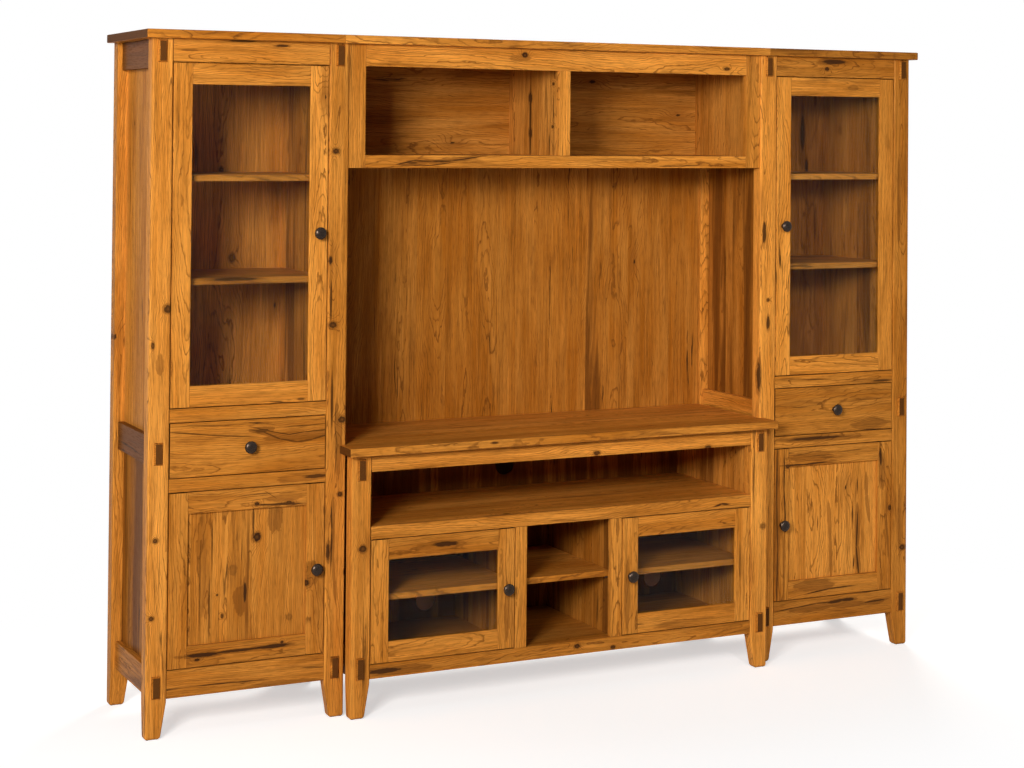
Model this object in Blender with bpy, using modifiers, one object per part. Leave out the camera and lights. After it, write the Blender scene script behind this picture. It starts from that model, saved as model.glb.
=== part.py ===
# Rustic hickory wall unit: two towers, a console between them and a bridge over the niche.
#
# X runs across the unit, Y from front to back and Z up, in metres. The origin is on the floor,
# under the middle of the unit's box. A "case" is one tower or the console: its x limits are the
# outer faces of its posts, its front is the plane of its front posts, its top their upper ends.

import math
from collections import namedtuple

import bpy
import bmesh
from mathutils import Vector

# Overall sizes
TOWER_W = 0.616
NICHE_W = 1.490
TOWER_D = 0.450
BOARD_UNDER_Z = 2.060
BOARD_T = 0.026
BOARD_OVERHANG = 0.022
BOARD_LAP = 0.022
BOARD_ROUND = 0.003

# Fits
SEAT = 0.0003
CASE_FIT = 0.0005
FACE_RECESS = 0.003
DOOR_GAP = 0.003
JOIN_LAP = 0.004
EASE = 0.0012

# Posts and their tapered feet
POST_W = 0.0635
POST_D = 0.050
POST_ROUND = 0.0055
FOOT_Z = 0.106
FOOT_TAPER_X = 0.0175
FOOT_TAPER_Y = 0.012
FOOT_CHAMFER = 0.0045

# Side frames: rails with through tenons, and flat panels between them
SIDE_RECESS = 0.0145
SIDE_RAIL_T = 0.032
SIDE_RAIL_H = 0.085
SIDE_MIDDLE_Z = 0.797
SIDE_BOTTOM_Z = 0.118
SIDE_PANEL_RECESS = 0.033
SIDE_PANEL_T = 0.0085
TENON_W = 0.026
TENON_H = 0.066
TENON_PROUD = 0.008
TENON_CHAMFER = 0.0025
TOP_TENON_SHOULDER = 0.004
MIDDLE_TENON_SHOULDER = 0.007
BOTTOM_TENON_SHOULDER = 0.002
CONSOLE_TENON_SHOULDER = 0.012

# Back panels, housed in a rabbet of the back posts
BACK_T = 0.006
BACK_RABBET_W = 0.010

# Face frame and decks of a tower, from the floor up
RAIL_T = 0.021
DECK_T = 0.020
APRON_Z = 0.116
APRON_H = 0.081
CABINET_OPEN_H = 0.5225
DRAWER_RAIL_H = 0.0395
DRAWER_OPEN_H = 0.166
DISPLAY_RAIL_H = 0.040
TOP_RAIL_H = 0.068

# Shelves on pins
SHELF_T = 0.020
SHELF_GAP = 0.001
SHELF_SETBACK = 0.036
SHELF_BACK_GAP = 0.008
UPPER_SHELF_Z = 1.657
LOWER_SHELF_Z = 1.347
CONSOLE_SHELF_Z = 0.365
CUBBY_SHELF_Z = 0.370
PIN_R = 0.003
PIN_LENGTH = 0.010
PIN_INSET = 0.008

# Doors and drawers
DOOR_T = 0.021
STILE_W = 0.057
DOOR_RAIL_H = 0.063
REBATE_W = 0.008
GLASS_LIP = 0.008
GLASS_T = 0.004
PANEL_LIP = 0.011
PANEL_T = 0.007
DRAWER_LENGTH = 0.340
DRAWER_H = 0.110
DRAWER_WALL = 0.012
DRAWER_BASE = 0.008
DRAWER_SIDE_GAP = 0.006
RUNNER_W = 0.016
RUNNER_H = 0.010
RUNNER_LENGTH = 0.365

# Concealed cup hinges
HINGE_END = 0.072
CUP_R = 0.0175
CUP_PROUD = 0.0015
CUP_INSET = 0.022
ARM_T = 0.011
ARM_REACH = 0.032
ARM_H = 0.014
PLATE_T = 0.003
PLATE_SET = 0.001
PLATE_D = 0.021
PLATE_H = 0.046

# Turned knob
KNOB_R = 0.019
KNOB_REACH = 0.030
KNOB_DOME_H = 0.009
KNOB_RIM_H = 0.007
KNOB_NECK_R = 0.0065
KNOB_BASE_R = 0.0095
KNOB_BASE_H = 0.003
KNOB_STEPS = 20

# Console, from the floor up
CONSOLE_FORWARD = 0.056
CONSOLE_UNDER_Z = 0.8025
CONSOLE_EAR = 0.020
CONSOLE_OVERHANG = 0.036
CONSOLE_RAIL_Z = 0.1174
CONSOLE_RAIL_H = 0.0426
CONSOLE_TOP_RAIL_H = 0.054
MEDIA_OPEN_H = 0.1665
MEDIA_RAIL_H = 0.0394
CONSOLE_DOOR_OPEN_W = 0.490
PARTITION_STILE_W = 0.040
PARTITION_T = 0.020
CABLE_HOLE_R = 0.035
MEDIA_HOLE_Z = 0.655
BAY_HOLE_Z = 0.220
BAY_HOLE_INSET = 0.098

# Bridge and the niche's back
BRIDGE_RECESS = 0.006
BRIDGE_RAIL_H = 0.040
BRIDGE_OPEN_H = 0.275
BRIDGE_STILE_W = 0.056
BRIDGE_CENTRE_W = 0.040
BRIDGE_WALL_T = 0.020
BRIDGE_BACK_T = 0.008
NICHE_BACK_Y = 0.410
NICHE_BACK_T = 0.012
NICHE_BACK_FOOT = 0.006

# Heights and places that follow from the sizes above
POST_TOP = BOARD_UNDER_Z - SEAT
CABINET_Z = APRON_Z + APRON_H
DRAWER_RAIL_Z = CABINET_Z + CABINET_OPEN_H
DRAWER_Z = DRAWER_RAIL_Z + DRAWER_RAIL_H
DISPLAY_RAIL_Z = DRAWER_Z + DRAWER_OPEN_H
DISPLAY_Z = DISPLAY_RAIL_Z + DISPLAY_RAIL_H
DISPLAY_TOP_Z = BOARD_UNDER_Z - TOP_RAIL_H
CONSOLE_POST_TOP = CONSOLE_UNDER_Z - SEAT
CONSOLE_TOP_Z = CONSOLE_UNDER_Z + BOARD_T
CONSOLE_DOOR_Z = CONSOLE_RAIL_Z + CONSOLE_RAIL_H
MEDIA_TOP_Z = CONSOLE_UNDER_Z - CONSOLE_TOP_RAIL_H
MEDIA_Z = MEDIA_TOP_Z - MEDIA_OPEN_H
MEDIA_RAIL_Z = MEDIA_Z - MEDIA_RAIL_H
BRIDGE_OPEN_Z = DISPLAY_TOP_Z - BRIDGE_OPEN_H
BRIDGE_Z = BRIDGE_OPEN_Z - BRIDGE_RAIL_H
HALF_W = TOWER_W + NICHE_W / 2
FRONT_REACH = CONSOLE_FORWARD + max(CONSOLE_OVERHANG, KNOB_REACH + SEAT - FACE_RECESS)
TOWER_FRONT = (FRONT_REACH - TOWER_D) / 2
BACK_Y = TOWER_FRONT + TOWER_D
CONSOLE_FRONT = TOWER_FRONT - CONSOLE_FORWARD

Case = namedtuple("Case", "name x front top")
LEFT_TOWER = Case("left_tower", (-HALF_W, -NICHE_W / 2), TOWER_FRONT, POST_TOP)
RIGHT_TOWER = Case("right_tower", (NICHE_W / 2, HALF_W), TOWER_FRONT, POST_TOP)
CONSOLE = Case("console", (CASE_FIT - NICHE_W / 2, NICHE_W / 2 - CASE_FIT), CONSOLE_FRONT, CONSOLE_POST_TOP)
LOW = 0
HIGH = 1

# The posts and side frames, whose parts meet in slight tapers and eased edges, need this solver
POST_SOLVER = "MANIFOLD"

for old in list(bpy.data.objects):
    bpy.data.objects.remove(old, do_unlink=True)


def new_collection(name):
    made = bpy.data.collections.new(name)
    bpy.context.scene.collection.children.link(made)
    return made


PARTS = new_collection("wall_unit")
CUTTERS = new_collection("cutters")


def new_material(name, colour, roughness, metallic=0.0, transmission=0.0):
    material = bpy.data.materials.new(name)
    material.use_nodes = True
    shader = material.node_tree.nodes["Principled BSDF"]
    shader.inputs["Base Color"].default_value = (*colour, 1.0)
    shader.inputs["Roughness"].default_value = roughness
    shader.inputs["Metallic"].default_value = metallic
    shader.inputs["Transmission Weight"].default_value = transmission
    material.diffuse_color = (*colour, 1.0 - 0.7 * transmission)
    return material


HICKORY = new_material("hickory", (0.50, 0.22, 0.055), 0.42)
PANEL_HICKORY = new_material("panel_hickory", (0.56, 0.27, 0.07), 0.42)
INNER_HICKORY = new_material("inner_hickory", (0.33, 0.14, 0.035), 0.5)
GLASS = new_material("glass", (0.80, 0.82, 0.80), 0.03, transmission=1.0)
BRONZE = new_material("dark_bronze", (0.045, 0.032, 0.026), 0.35, metallic=0.9)


def add_object(name, mesh, location, material=None):
    """A sub-part when it has a material, otherwise a hidden tool that cuts or joins."""
    made = bpy.data.objects.new(name, mesh)
    made.location = location
    if material:
        mesh.materials.append(material)
        PARTS.objects.link(made)
        return made
    CUTTERS.objects.link(made)
    made.hide_render = True
    made.display_type = "WIRE"
    return made


def combine(target, tool, operation, solver):
    step = target.modifiers.new(tool.name, "BOOLEAN")
    step.object = tool
    step.operation = operation
    step.solver = solver


def join(target, tool, solver="EXACT"):
    combine(target, tool, "UNION", solver)


def cut(target, tool, solver="EXACT"):
    combine(target, tool, "DIFFERENCE", solver)


def faces_toward(edge, directions):
    """Whether an edge borders a face that looks along one of the directions."""
    for face in edge.link_faces:
        if any(face.normal.dot(Vector(direction)) > 0.9 for direction in directions):
            return True
    return False


def box_mesh(name, size, ease=0.0, steps=1, sharp=()):
    """A box whose edges are eased, except round the faces that look along a sharp direction."""
    shape = bmesh.new()
    bmesh.ops.create_cube(shape, size=1.0)
    bmesh.ops.scale(shape, vec=size, verts=shape.verts)
    shape.normal_update()
    if ease:
        eased = [edge for edge in shape.edges if not faces_toward(edge, sharp)]
        bmesh.ops.bevel(shape, geom=eased, offset=ease, segments=steps, profile=0.5, affect="EDGES")
    mesh = bpy.data.meshes.new(name)
    shape.to_mesh(mesh)
    shape.free()
    return mesh


def block(name, x, y, z, material=None, ease=0.0, steps=1, sharp=()):
    """A box between its limits on the three axes."""
    limits = [sorted(pair) for pair in (x, y, z)]
    size = [high - low for low, high in limits]
    middle = [(low + high) / 2 for low, high in limits]
    return add_object(name, box_mesh(name, size, ease, steps, sharp), middle, material)


def cylinder(name, centre, radius, length, axis, segments=16):
    """A round tool along the x, y or z axis."""
    shape = bmesh.new()
    radii = {"radius1": radius, "radius2": radius}
    bmesh.ops.create_cone(shape, cap_ends=True, segments=segments, depth=length, **radii)
    mesh = bpy.data.meshes.new(name)
    shape.to_mesh(mesh)
    shape.free()
    made = add_object(name, mesh, centre)
    turns = {"x": (0, math.pi / 2, 0), "y": (math.pi / 2, 0, 0), "z": (0, 0, 0)}
    made.rotation_euler = turns[axis]
    return made


def end_of(case, end):
    """The outer x face of a case's post at one end, and the direction into the case."""
    return case.x[end], 1 if end == LOW else -1


def inward(case, end, near, far):
    """X limits measured into the case from its outer face."""
    x_face, way = end_of(case, end)
    return sorted((x_face + way * near, x_face + way * far))


def between_posts(case, gap=0.0):
    return case.x[LOW] + POST_W + gap, case.x[HIGH] - POST_W - gap


def set_hinge(name, location):
    """An empty on a moving piece's joint axis, which carries the piece."""
    empty = bpy.data.objects.new(name, None)
    empty.location = location
    empty.empty_display_size = 0.05
    PARTS.objects.link(empty)
    return empty


def carry(empty, *pieces):
    """Parents pieces to an empty and keeps them where they are."""
    for piece in pieces:
        piece.location = piece.location - empty.location
        piece.parent = empty


def post_mesh(name, height, way, foot_side):
    """A post on the origin, tapered below the apron on its inner x face and on one y face."""
    shape = bmesh.new()
    bmesh.ops.create_cube(shape, size=1.0)
    bmesh.ops.scale(shape, vec=(POST_W, POST_D, height), verts=shape.verts)
    bmesh.ops.translate(shape, vec=(0, 0, height / 2), verts=shape.verts)
    everything = shape.verts[:] + shape.edges[:] + shape.faces[:]
    bmesh.ops.bisect_plane(shape, geom=everything, plane_co=(0, 0, FOOT_Z), plane_no=(0, 0, 1))
    for vert in shape.verts:
        if vert.co.z < FOOT_Z / 2:
            if vert.co.x * way > 0:
                vert.co.x -= way * FOOT_TAPER_X
            if vert.co.y * foot_side > 0:
                vert.co.y -= foot_side * FOOT_TAPER_Y
    uprights = [e for e in shape.edges if abs(e.verts[0].co.z - e.verts[1].co.z) > FOOT_Z / 2]
    bmesh.ops.bevel(shape, geom=uprights, offset=POST_ROUND, segments=2, profile=0.5, affect="EDGES")
    sole = [e for e in shape.edges if max(e.verts[0].co.z, e.verts[1].co.z) < FOOT_Z / 100]
    bmesh.ops.bevel(shape, geom=sole, offset=FOOT_CHAMFER, segments=1, affect="EDGES")
    mesh = bpy.data.meshes.new(name)
    shape.to_mesh(mesh)
    shape.free()
    return mesh


def add_post(name, case, end, y_low, foot_side):
    x_face, way = end_of(case, end)
    place = (x_face + way * POST_W / 2, y_low + POST_D / 2, 0)
    return add_object(name, post_mesh(name, case.top, way, foot_side), place, HICKORY)


def tenon_limits(case, end, tenon, clearance=0.0):
    """A through tenon's x and z limits, or its mortise's when a clearance is given."""
    centre = SIDE_RECESS + SIDE_RAIL_T / 2
    x = inward(case, end, centre - TENON_W / 2 - clearance, centre + TENON_W / 2 + clearance)
    return x, (tenon - clearance, tenon + TENON_H + clearance)


def hinge_arms(post, case, end, heights):
    """Hinge plates on the post's inner face, each with the arm that reaches behind the cup."""
    arm_y = case.front + FACE_RECESS + DOOR_T + CUP_PROUD + SEAT
    for number, height in enumerate(heights):
        name = f"{post.name}_hinge_{number}"
        plate_x = inward(case, end, POST_W - JOIN_LAP, POST_W + PLATE_T)
        plate_z = (height - PLATE_H / 2, height + PLATE_H / 2)
        plate_y = (arm_y + PLATE_SET, arm_y + PLATE_D)
        join(post, block(name + "_plate", plate_x, plate_y, plate_z), POST_SOLVER)
        arm_x = inward(case, end, POST_W - JOIN_LAP / 2, POST_W + ARM_REACH)
        arm_z = (height - ARM_H / 2, height + ARM_H / 2)
        join(post, block(name + "_arm", arm_x, (arm_y, arm_y + ARM_T), arm_z), POST_SOLVER)


def front_post(name, case, end, tenons, hinges=()):
    """A front post with a through mortise for each side rail's tenon."""
    post = add_post(name, case, end, case.front, foot_side=1)
    for tenon in tenons:
        x, z = tenon_limits(case, end, tenon, SEAT)
        through = (case.front - JOIN_LAP, case.front + POST_D + JOIN_LAP)
        cut(post, block(f"{name}_mortise_{round(tenon * 1000)}", x, through, z), POST_SOLVER)
    hinge_arms(post, case, end, hinges)
    return post


def side_frame(name, case, end, rails, tenons):
    """A back post with the side's rails, through tenons and panels, and the back's rabbet."""
    back_y = BACK_Y - POST_D
    frame = add_post(name, case, end, back_y, foot_side=-1)
    span = (case.front + POST_D + SEAT, back_y + JOIN_LAP)
    rail_x = inward(case, end, SIDE_RECESS, SIDE_RECESS + SIDE_RAIL_T)
    panel_x = inward(case, end, SIDE_PANEL_RECESS, SIDE_PANEL_RECESS + SIDE_PANEL_T)
    ends = ((0, -1, 0), (0, 1, 0))
    for z in rails:
        limits = (z, z + SIDE_RAIL_H)
        rail = block(f"{name}_rail_{round(z * 1000)}", rail_x, span, limits, ease=EASE, sharp=ends)
        join(frame, rail, POST_SOLVER)
    for tenon in tenons:
        x, z = tenon_limits(case, end, tenon)
        y = (case.front - TENON_PROUD, case.front + POST_D + 2 * JOIN_LAP)
        join(frame, block(f"{name}_tenon_{round(tenon * 1000)}", x, y, z, ease=TENON_CHAMFER), POST_SOLVER)
    for lower, upper in zip(rails, rails[1:]):
        z = (lower + SIDE_RAIL_H - JOIN_LAP, upper + JOIN_LAP)
        join(frame, block(f"{name}_panel_{round(lower * 1000)}", panel_x, span, z), POST_SOLVER)
    rabbet_x = inward(case, end, POST_W - BACK_RABBET_W - SEAT, POST_W + JOIN_LAP)
    rabbet_y = (BACK_Y - BACK_T - SEAT, BACK_Y + JOIN_LAP)
    rabbet_z = (back_foot(case), case.top + JOIN_LAP)
    cut(frame, block(f"{name}_rabbet", rabbet_x, rabbet_y, rabbet_z), POST_SOLVER)
    return frame


def back_foot(case):
    """Underside of a case's lowest deck, where its back panel ends."""
    floor = CONSOLE_DOOR_Z if case is CONSOLE else CABINET_Z
    return floor - DECK_T - SEAT


def back_panel(name, case):
    inset = POST_W - BACK_RABBET_W
    x = (case.x[LOW] + inset, case.x[HIGH] - inset)
    return block(name, x, (BACK_Y - BACK_T, BACK_Y), (back_foot(case) + SEAT, case.top), INNER_HICKORY)


def deck(name, case, top_z, rail):
    """A deck between the side rails, notched round the four posts, a hair below its face rail."""
    inset = SIDE_RECESS + SIDE_RAIL_T + SEAT
    rail_y = (case.front + FACE_RECESS, case.front + FACE_RECESS + RAIL_T)
    x = (case.x[LOW] + inset, case.x[HIGH] - inset)
    y = (rail_y[1] - JOIN_LAP, BACK_Y - BACK_T - SEAT)
    made = block(name, x, y, (top_z - DECK_T, top_z - SEAT), HICKORY)
    z = (top_z - DECK_T - JOIN_LAP, top_z + JOIN_LAP)
    for end in (LOW, HIGH):
        post_x = inward(case, end, 0, POST_W + SEAT)
        front_y = (case.front, case.front + POST_D + SEAT)
        back_y = (BACK_Y - POST_D - SEAT, BACK_Y)
        cut(made, block(f"{name}_front_notch_{end}", post_x, front_y, z))
        cut(made, block(f"{name}_back_notch_{end}", post_x, back_y, z))
    join(made, block(f"{name}_rail", between_posts(case, SEAT), rail_y, rail))
    return made


def shelf(name, x, front, top_z, pin_walls):
    """A loose shelf with the four pins that hold it to the walls at its ends."""
    y = (front + SHELF_SETBACK, BACK_Y - BACK_T - SHELF_BACK_GAP)
    board = (x[LOW] + SHELF_GAP, x[HIGH] - SHELF_GAP)
    ends = ((-1, 0, 0), (1, 0, 0))
    made = block(name, board, y, (top_z - SHELF_T, top_z), INNER_HICKORY, ease=EASE, sharp=ends)
    length = PIN_LENGTH + SHELF_GAP - SEAT
    for end, way in ((LOW, 1), (HIGH, -1)):
        pin_x = pin_walls[end] + way * (SEAT + length / 2)
        for place, pin_y in (("front", y[0] + PIN_INSET), ("back", y[1] - PIN_INSET)):
            centre = (pin_x, pin_y, top_z - SHELF_T - PIN_R / 2)
            join(made, cylinder(f"{name}_pin_{place}_{end}", centre, PIN_R, length, "x", 10))
    return made


def flared_opening(name, x, z, y_face, depth):
    """A cutter for a door's opening, whose front edge is eased all round."""
    front = y_face - EASE
    limits = (x[1] - x[0], y_face + depth - front, z[1] - z[0])
    shape = bmesh.new()
    bmesh.ops.create_cube(shape, size=1.0)
    bmesh.ops.scale(shape, vec=limits, verts=shape.verts)
    everything = shape.verts[:] + shape.edges[:] + shape.faces[:]
    step = 2 * EASE - limits[1] / 2
    bmesh.ops.bisect_plane(shape, geom=everything, plane_co=(0, step, 0), plane_no=(0, 1, 0))
    for vert in shape.verts:
        if vert.co.y < step - EASE:
            vert.co.x += math.copysign(2 * EASE, vert.co.x)
            vert.co.z += math.copysign(2 * EASE, vert.co.z)
    mesh = bpy.data.meshes.new(name)
    shape.to_mesh(mesh)
    shape.free()
    middle = ((x[0] + x[1]) / 2, front + limits[1] / 2, (z[0] + z[1]) / 2)
    return add_object(name, mesh, middle)


def knob_profile():
    """Half outline of a mushroom knob, from the crown down its outer side to the base."""
    rim_z = KNOB_REACH - KNOB_DOME_H
    points = []
    for step in range(5):
        angle = step * math.pi / 8
        points.append((KNOB_R * math.sin(angle), rim_z + KNOB_DOME_H * math.cos(angle)))
    points.append((0.88 * KNOB_R, rim_z - 0.6 * KNOB_RIM_H))
    points.append((KNOB_NECK_R + 0.002, rim_z - KNOB_RIM_H))
    points.append((KNOB_NECK_R, rim_z - KNOB_RIM_H - 0.002))
    points.append((KNOB_NECK_R, KNOB_BASE_H + 0.002))
    points.append((KNOB_BASE_R, KNOB_BASE_H))
    points.append((KNOB_BASE_R, 0.0))
    points.append((0.0, 0.0))
    return points


def knob(name, x, y_face, z):
    """A turned knob that stands straight out of a front."""
    shape = bmesh.new()
    verts = [shape.verts.new((radius, 0, height)) for radius, height in knob_profile()]
    for first, second in zip(verts, verts[1:]):
        shape.edges.new((first, second))
    mesh = bpy.data.meshes.new(name)
    shape.to_mesh(mesh)
    shape.free()
    made = add_object(name, mesh, (x, y_face - SEAT, z), BRONZE)
    made.rotation_euler = (math.pi / 2, 0, 0)
    turn = made.modifiers.new("turned", "SCREW")
    turn.axis = "Z"
    turn.angle = 2 * math.pi
    turn.steps = KNOB_STEPS
    turn.render_steps = KNOB_STEPS
    turn.use_merge_vertices = True
    turn.merge_threshold = 0.00001
    turn.use_smooth_shade = True
    return made


def hinge_heights(z):
    return z[0] + DOOR_GAP + HINGE_END, z[1] - DOOR_GAP - HINGE_END


def door(name, case, hinge_end, x, z, filling):
    """A framed door in the opening x by z, hung at one end, with a glass or a wooden filling."""
    face = case.front + FACE_RECESS
    outer_x = (x[0] + DOOR_GAP, x[1] - DOOR_GAP)
    outer_z = (z[0] + DOOR_GAP, z[1] - DOOR_GAP)
    sight_x = (outer_x[0] + STILE_W, outer_x[1] - STILE_W)
    sight_z = (outer_z[0] + DOOR_RAIL_H, outer_z[1] - DOOR_RAIL_H)
    frame = block(f"{name}_frame", outer_x, (face, face + DOOR_T), outer_z, HICKORY, ease=EASE)
    cut(frame, flared_opening(f"{name}_sight", sight_x, sight_z, face, DOOR_T + JOIN_LAP))
    lip, thickness = (GLASS_LIP, GLASS_T) if filling is GLASS else (PANEL_LIP, PANEL_T)
    rebate_x = (sight_x[0] - REBATE_W, sight_x[1] + REBATE_W)
    rebate_z = (sight_z[0] - REBATE_W, sight_z[1] + REBATE_W)
    cut(frame, block(f"{name}_rebate", rebate_x, (face + lip, face + DOOR_T + JOIN_LAP), rebate_z))
    side, way = (outer_x[0], 1) if hinge_end == LOW else (outer_x[1], -1)
    for number, height in enumerate(hinge_heights(z)):
        cup_length = CUP_PROUD + EASE
        centre = (side + way * CUP_INSET, face + DOOR_T + CUP_PROUD - cup_length / 2, height)
        join(frame, cylinder(f"{name}_cup_{number}", centre, CUP_R, cup_length, "y"))
    kind = "pane" if filling is GLASS else "panel"
    fill_y = (face + lip + SEAT, face + lip + SEAT + thickness)
    fill_x = (rebate_x[0] + SEAT, rebate_x[1] - SEAT)
    fill_z = (rebate_z[0] + SEAT, rebate_z[1] - SEAT)
    fill = block(f"{name}_{kind}", fill_x, fill_y, fill_z, filling)
    knob_x = outer_x[1] - STILE_W / 2 if hinge_end == LOW else outer_x[0] + STILE_W / 2
    pull = knob(f"{name}_knob", knob_x, face, (z[0] + z[1]) / 2)
    hinge = set_hinge(f"{name}_hinge", Vector((side - way * DOOR_GAP / 2, face, outer_z[0])))
    carry(hinge, frame, fill, pull)


def drawer(name, case):
    """A flush drawer front with an open box behind it, which slides on the runners."""
    face = case.front + FACE_RECESS
    x = between_posts(case, DOOR_GAP)
    z = (DRAWER_Z + DOOR_GAP, DRAWER_Z + DRAWER_OPEN_H - DOOR_GAP)
    front = block(name, x, (face, face + DOOR_T), z, HICKORY, ease=EASE)
    box_x = between_posts(case, DRAWER_SIDE_GAP)
    box_y = (face + DOOR_T - JOIN_LAP, face + DOOR_T + DRAWER_LENGTH)
    box_z = (DRAWER_Z + RUNNER_H + SEAT, DRAWER_Z + RUNNER_H + SEAT + DRAWER_H)
    join(front, block(f"{name}_box", box_x, box_y, box_z))
    inside_x = (box_x[0] + DRAWER_WALL, box_x[1] - DRAWER_WALL)
    inside_y = (face + DOOR_T, box_y[1] - DRAWER_WALL)
    inside_z = (box_z[0] + DRAWER_BASE, box_z[1] + JOIN_LAP)
    cut(front, block(f"{name}_inside", inside_x, inside_y, inside_z))
    middle = (x[0] + x[1]) / 2
    pull = knob(f"{name}_knob", middle, face, (z[0] + z[1]) / 2)
    slide = set_hinge(f"{name}_slide", Vector((middle, face, (z[0] + z[1]) / 2)))
    carry(slide, front, pull)


def tower(case, outer):
    """One tower: its outer end carries the hinges, and its other end looks into the niche."""
    name = case.name
    inner = HIGH if outer == LOW else LOW
    top_rail_z = POST_TOP - SEAT - SIDE_RAIL_H
    rails = (SIDE_BOTTOM_Z, SIDE_MIDDLE_Z, top_rail_z)
    top_tenon = POST_TOP - TOP_TENON_SHOULDER - TENON_H
    low_tenon = SIDE_BOTTOM_Z + BOTTOM_TENON_SHOULDER
    outer_tenons = (low_tenon, SIDE_MIDDLE_Z + MIDDLE_TENON_SHOULDER, top_tenon)
    inner_tenons = (low_tenon, top_tenon)
    cabinet_z = (CABINET_Z, DRAWER_RAIL_Z)
    display_z = (DISPLAY_Z, DISPLAY_TOP_Z)
    hinges = (*hinge_heights(cabinet_z), *hinge_heights(display_z))
    front_post(f"{name}_outer_front_post", case, outer, outer_tenons, hinges)
    front_post(f"{name}_inner_front_post", case, inner, inner_tenons)
    side_frame(f"{name}_outer_side", case, outer, rails, outer_tenons)
    side_frame(f"{name}_inner_side", case, inner, rails, inner_tenons)

    board_x = inward(case, outer, -BOARD_OVERHANG, TOWER_W - BOARD_LAP)
    seam = (1, 0, 0) if outer == LOW else (-1, 0, 0)
    board_y = (case.front - BOARD_OVERHANG, BACK_Y)
    board_z = (BOARD_UNDER_Z, BOARD_UNDER_Z + BOARD_T)
    top = block(f"{name}_top_board", board_x, board_y, board_z, HICKORY, BOARD_ROUND, 2, (seam, (0, 1, 0)))
    rail_y = (case.front + FACE_RECESS, case.front + FACE_RECESS + RAIL_T)
    rail_z = (DISPLAY_TOP_Z, BOARD_UNDER_Z + BOARD_ROUND)
    join(top, block(f"{name}_top_rail", between_posts(case, SEAT), rail_y, rail_z))

    deck(f"{name}_bottom_deck", case, CABINET_Z, (APRON_Z, CABINET_Z))
    runners = deck(f"{name}_drawer_deck", case, DRAWER_Z, (DRAWER_RAIL_Z, DRAWER_Z))
    runner_y = (case.front + FACE_RECESS + DOOR_T + JOIN_LAP, case.front + RUNNER_LENGTH)
    for end in (LOW, HIGH):
        near = POST_W + DRAWER_SIDE_GAP
        runner_x = inward(case, end, near, near + RUNNER_W)
        runner_z = (DRAWER_Z - JOIN_LAP, DRAWER_Z + RUNNER_H)
        join(runners, block(f"{name}_runner_{end}", runner_x, runner_y, runner_z))
    deck(f"{name}_display_deck", case, DISPLAY_Z, (DISPLAY_RAIL_Z, DISPLAY_Z))
    back_panel(f"{name}_back_panel", case)

    between = between_posts(case)
    shelf(f"{name}_upper_shelf", between, case.front, UPPER_SHELF_Z, between)
    shelf(f"{name}_lower_shelf", between, case.front, LOWER_SHELF_Z, between)
    door(f"{name}_glass_door", case, outer, between, display_z, GLASS)
    door(f"{name}_panel_door", case, outer, between, cabinet_z, PANEL_HICKORY)
    drawer(f"{name}_drawer", case)


def console_board():
    """The console's top board, whose ears lap the towers' posts; the niche's back stands in its rabbet."""
    y = (CONSOLE_FRONT - CONSOLE_OVERHANG, TOWER_FRONT - SEAT)
    z = (CONSOLE_UNDER_Z, CONSOLE_TOP_Z)
    board = block("console_top_board", CONSOLE.x, (y[0], BACK_Y), z, HICKORY)
    ear_x = (CONSOLE.x[LOW] - CONSOLE_EAR, CONSOLE.x[HIGH] + CONSOLE_EAR)
    join(board, block("console_top_ears", ear_x, y, z))
    rounding = board.modifiers.new("rounding", "BEVEL")
    rounding.width = BOARD_ROUND
    rounding.segments = 2
    rounding.limit_method = "ANGLE"
    rail_y = (CONSOLE_FRONT + FACE_RECESS, CONSOLE_FRONT + FACE_RECESS + RAIL_T)
    rail_z = (MEDIA_TOP_Z, CONSOLE_UNDER_Z + BOARD_ROUND)
    join(board, block("console_top_rail", between_posts(CONSOLE, SEAT), rail_y, rail_z))
    rabbet_y = (TOWER_FRONT + NICHE_BACK_Y - SEAT, BACK_Y + JOIN_LAP)
    rabbet_z = (z[HIGH] - NICHE_BACK_FOOT, z[HIGH] + JOIN_LAP)
    cut(board, block("console_top_rabbet", ear_x, rabbet_y, rabbet_z))


def partition(name, centre):
    """An upright between the bottom deck and the media shelf, with its face stile."""
    face = CONSOLE_FRONT + FACE_RECESS
    x = (centre - PARTITION_T / 2, centre + PARTITION_T / 2)
    y = (face + RAIL_T + SEAT, BACK_Y - BACK_T - SEAT)
    wall = block(name, x, y, (CONSOLE_DOOR_Z + SEAT, MEDIA_Z - DECK_T - SEAT), HICKORY)
    stile_x = (centre - PARTITION_STILE_W / 2, centre + PARTITION_STILE_W / 2)
    stile_z = (CONSOLE_DOOR_Z + SEAT, MEDIA_RAIL_Z - SEAT)
    join(wall, block(f"{name}_stile", stile_x, (face, y[0] + JOIN_LAP), stile_z))
    return x


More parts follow.
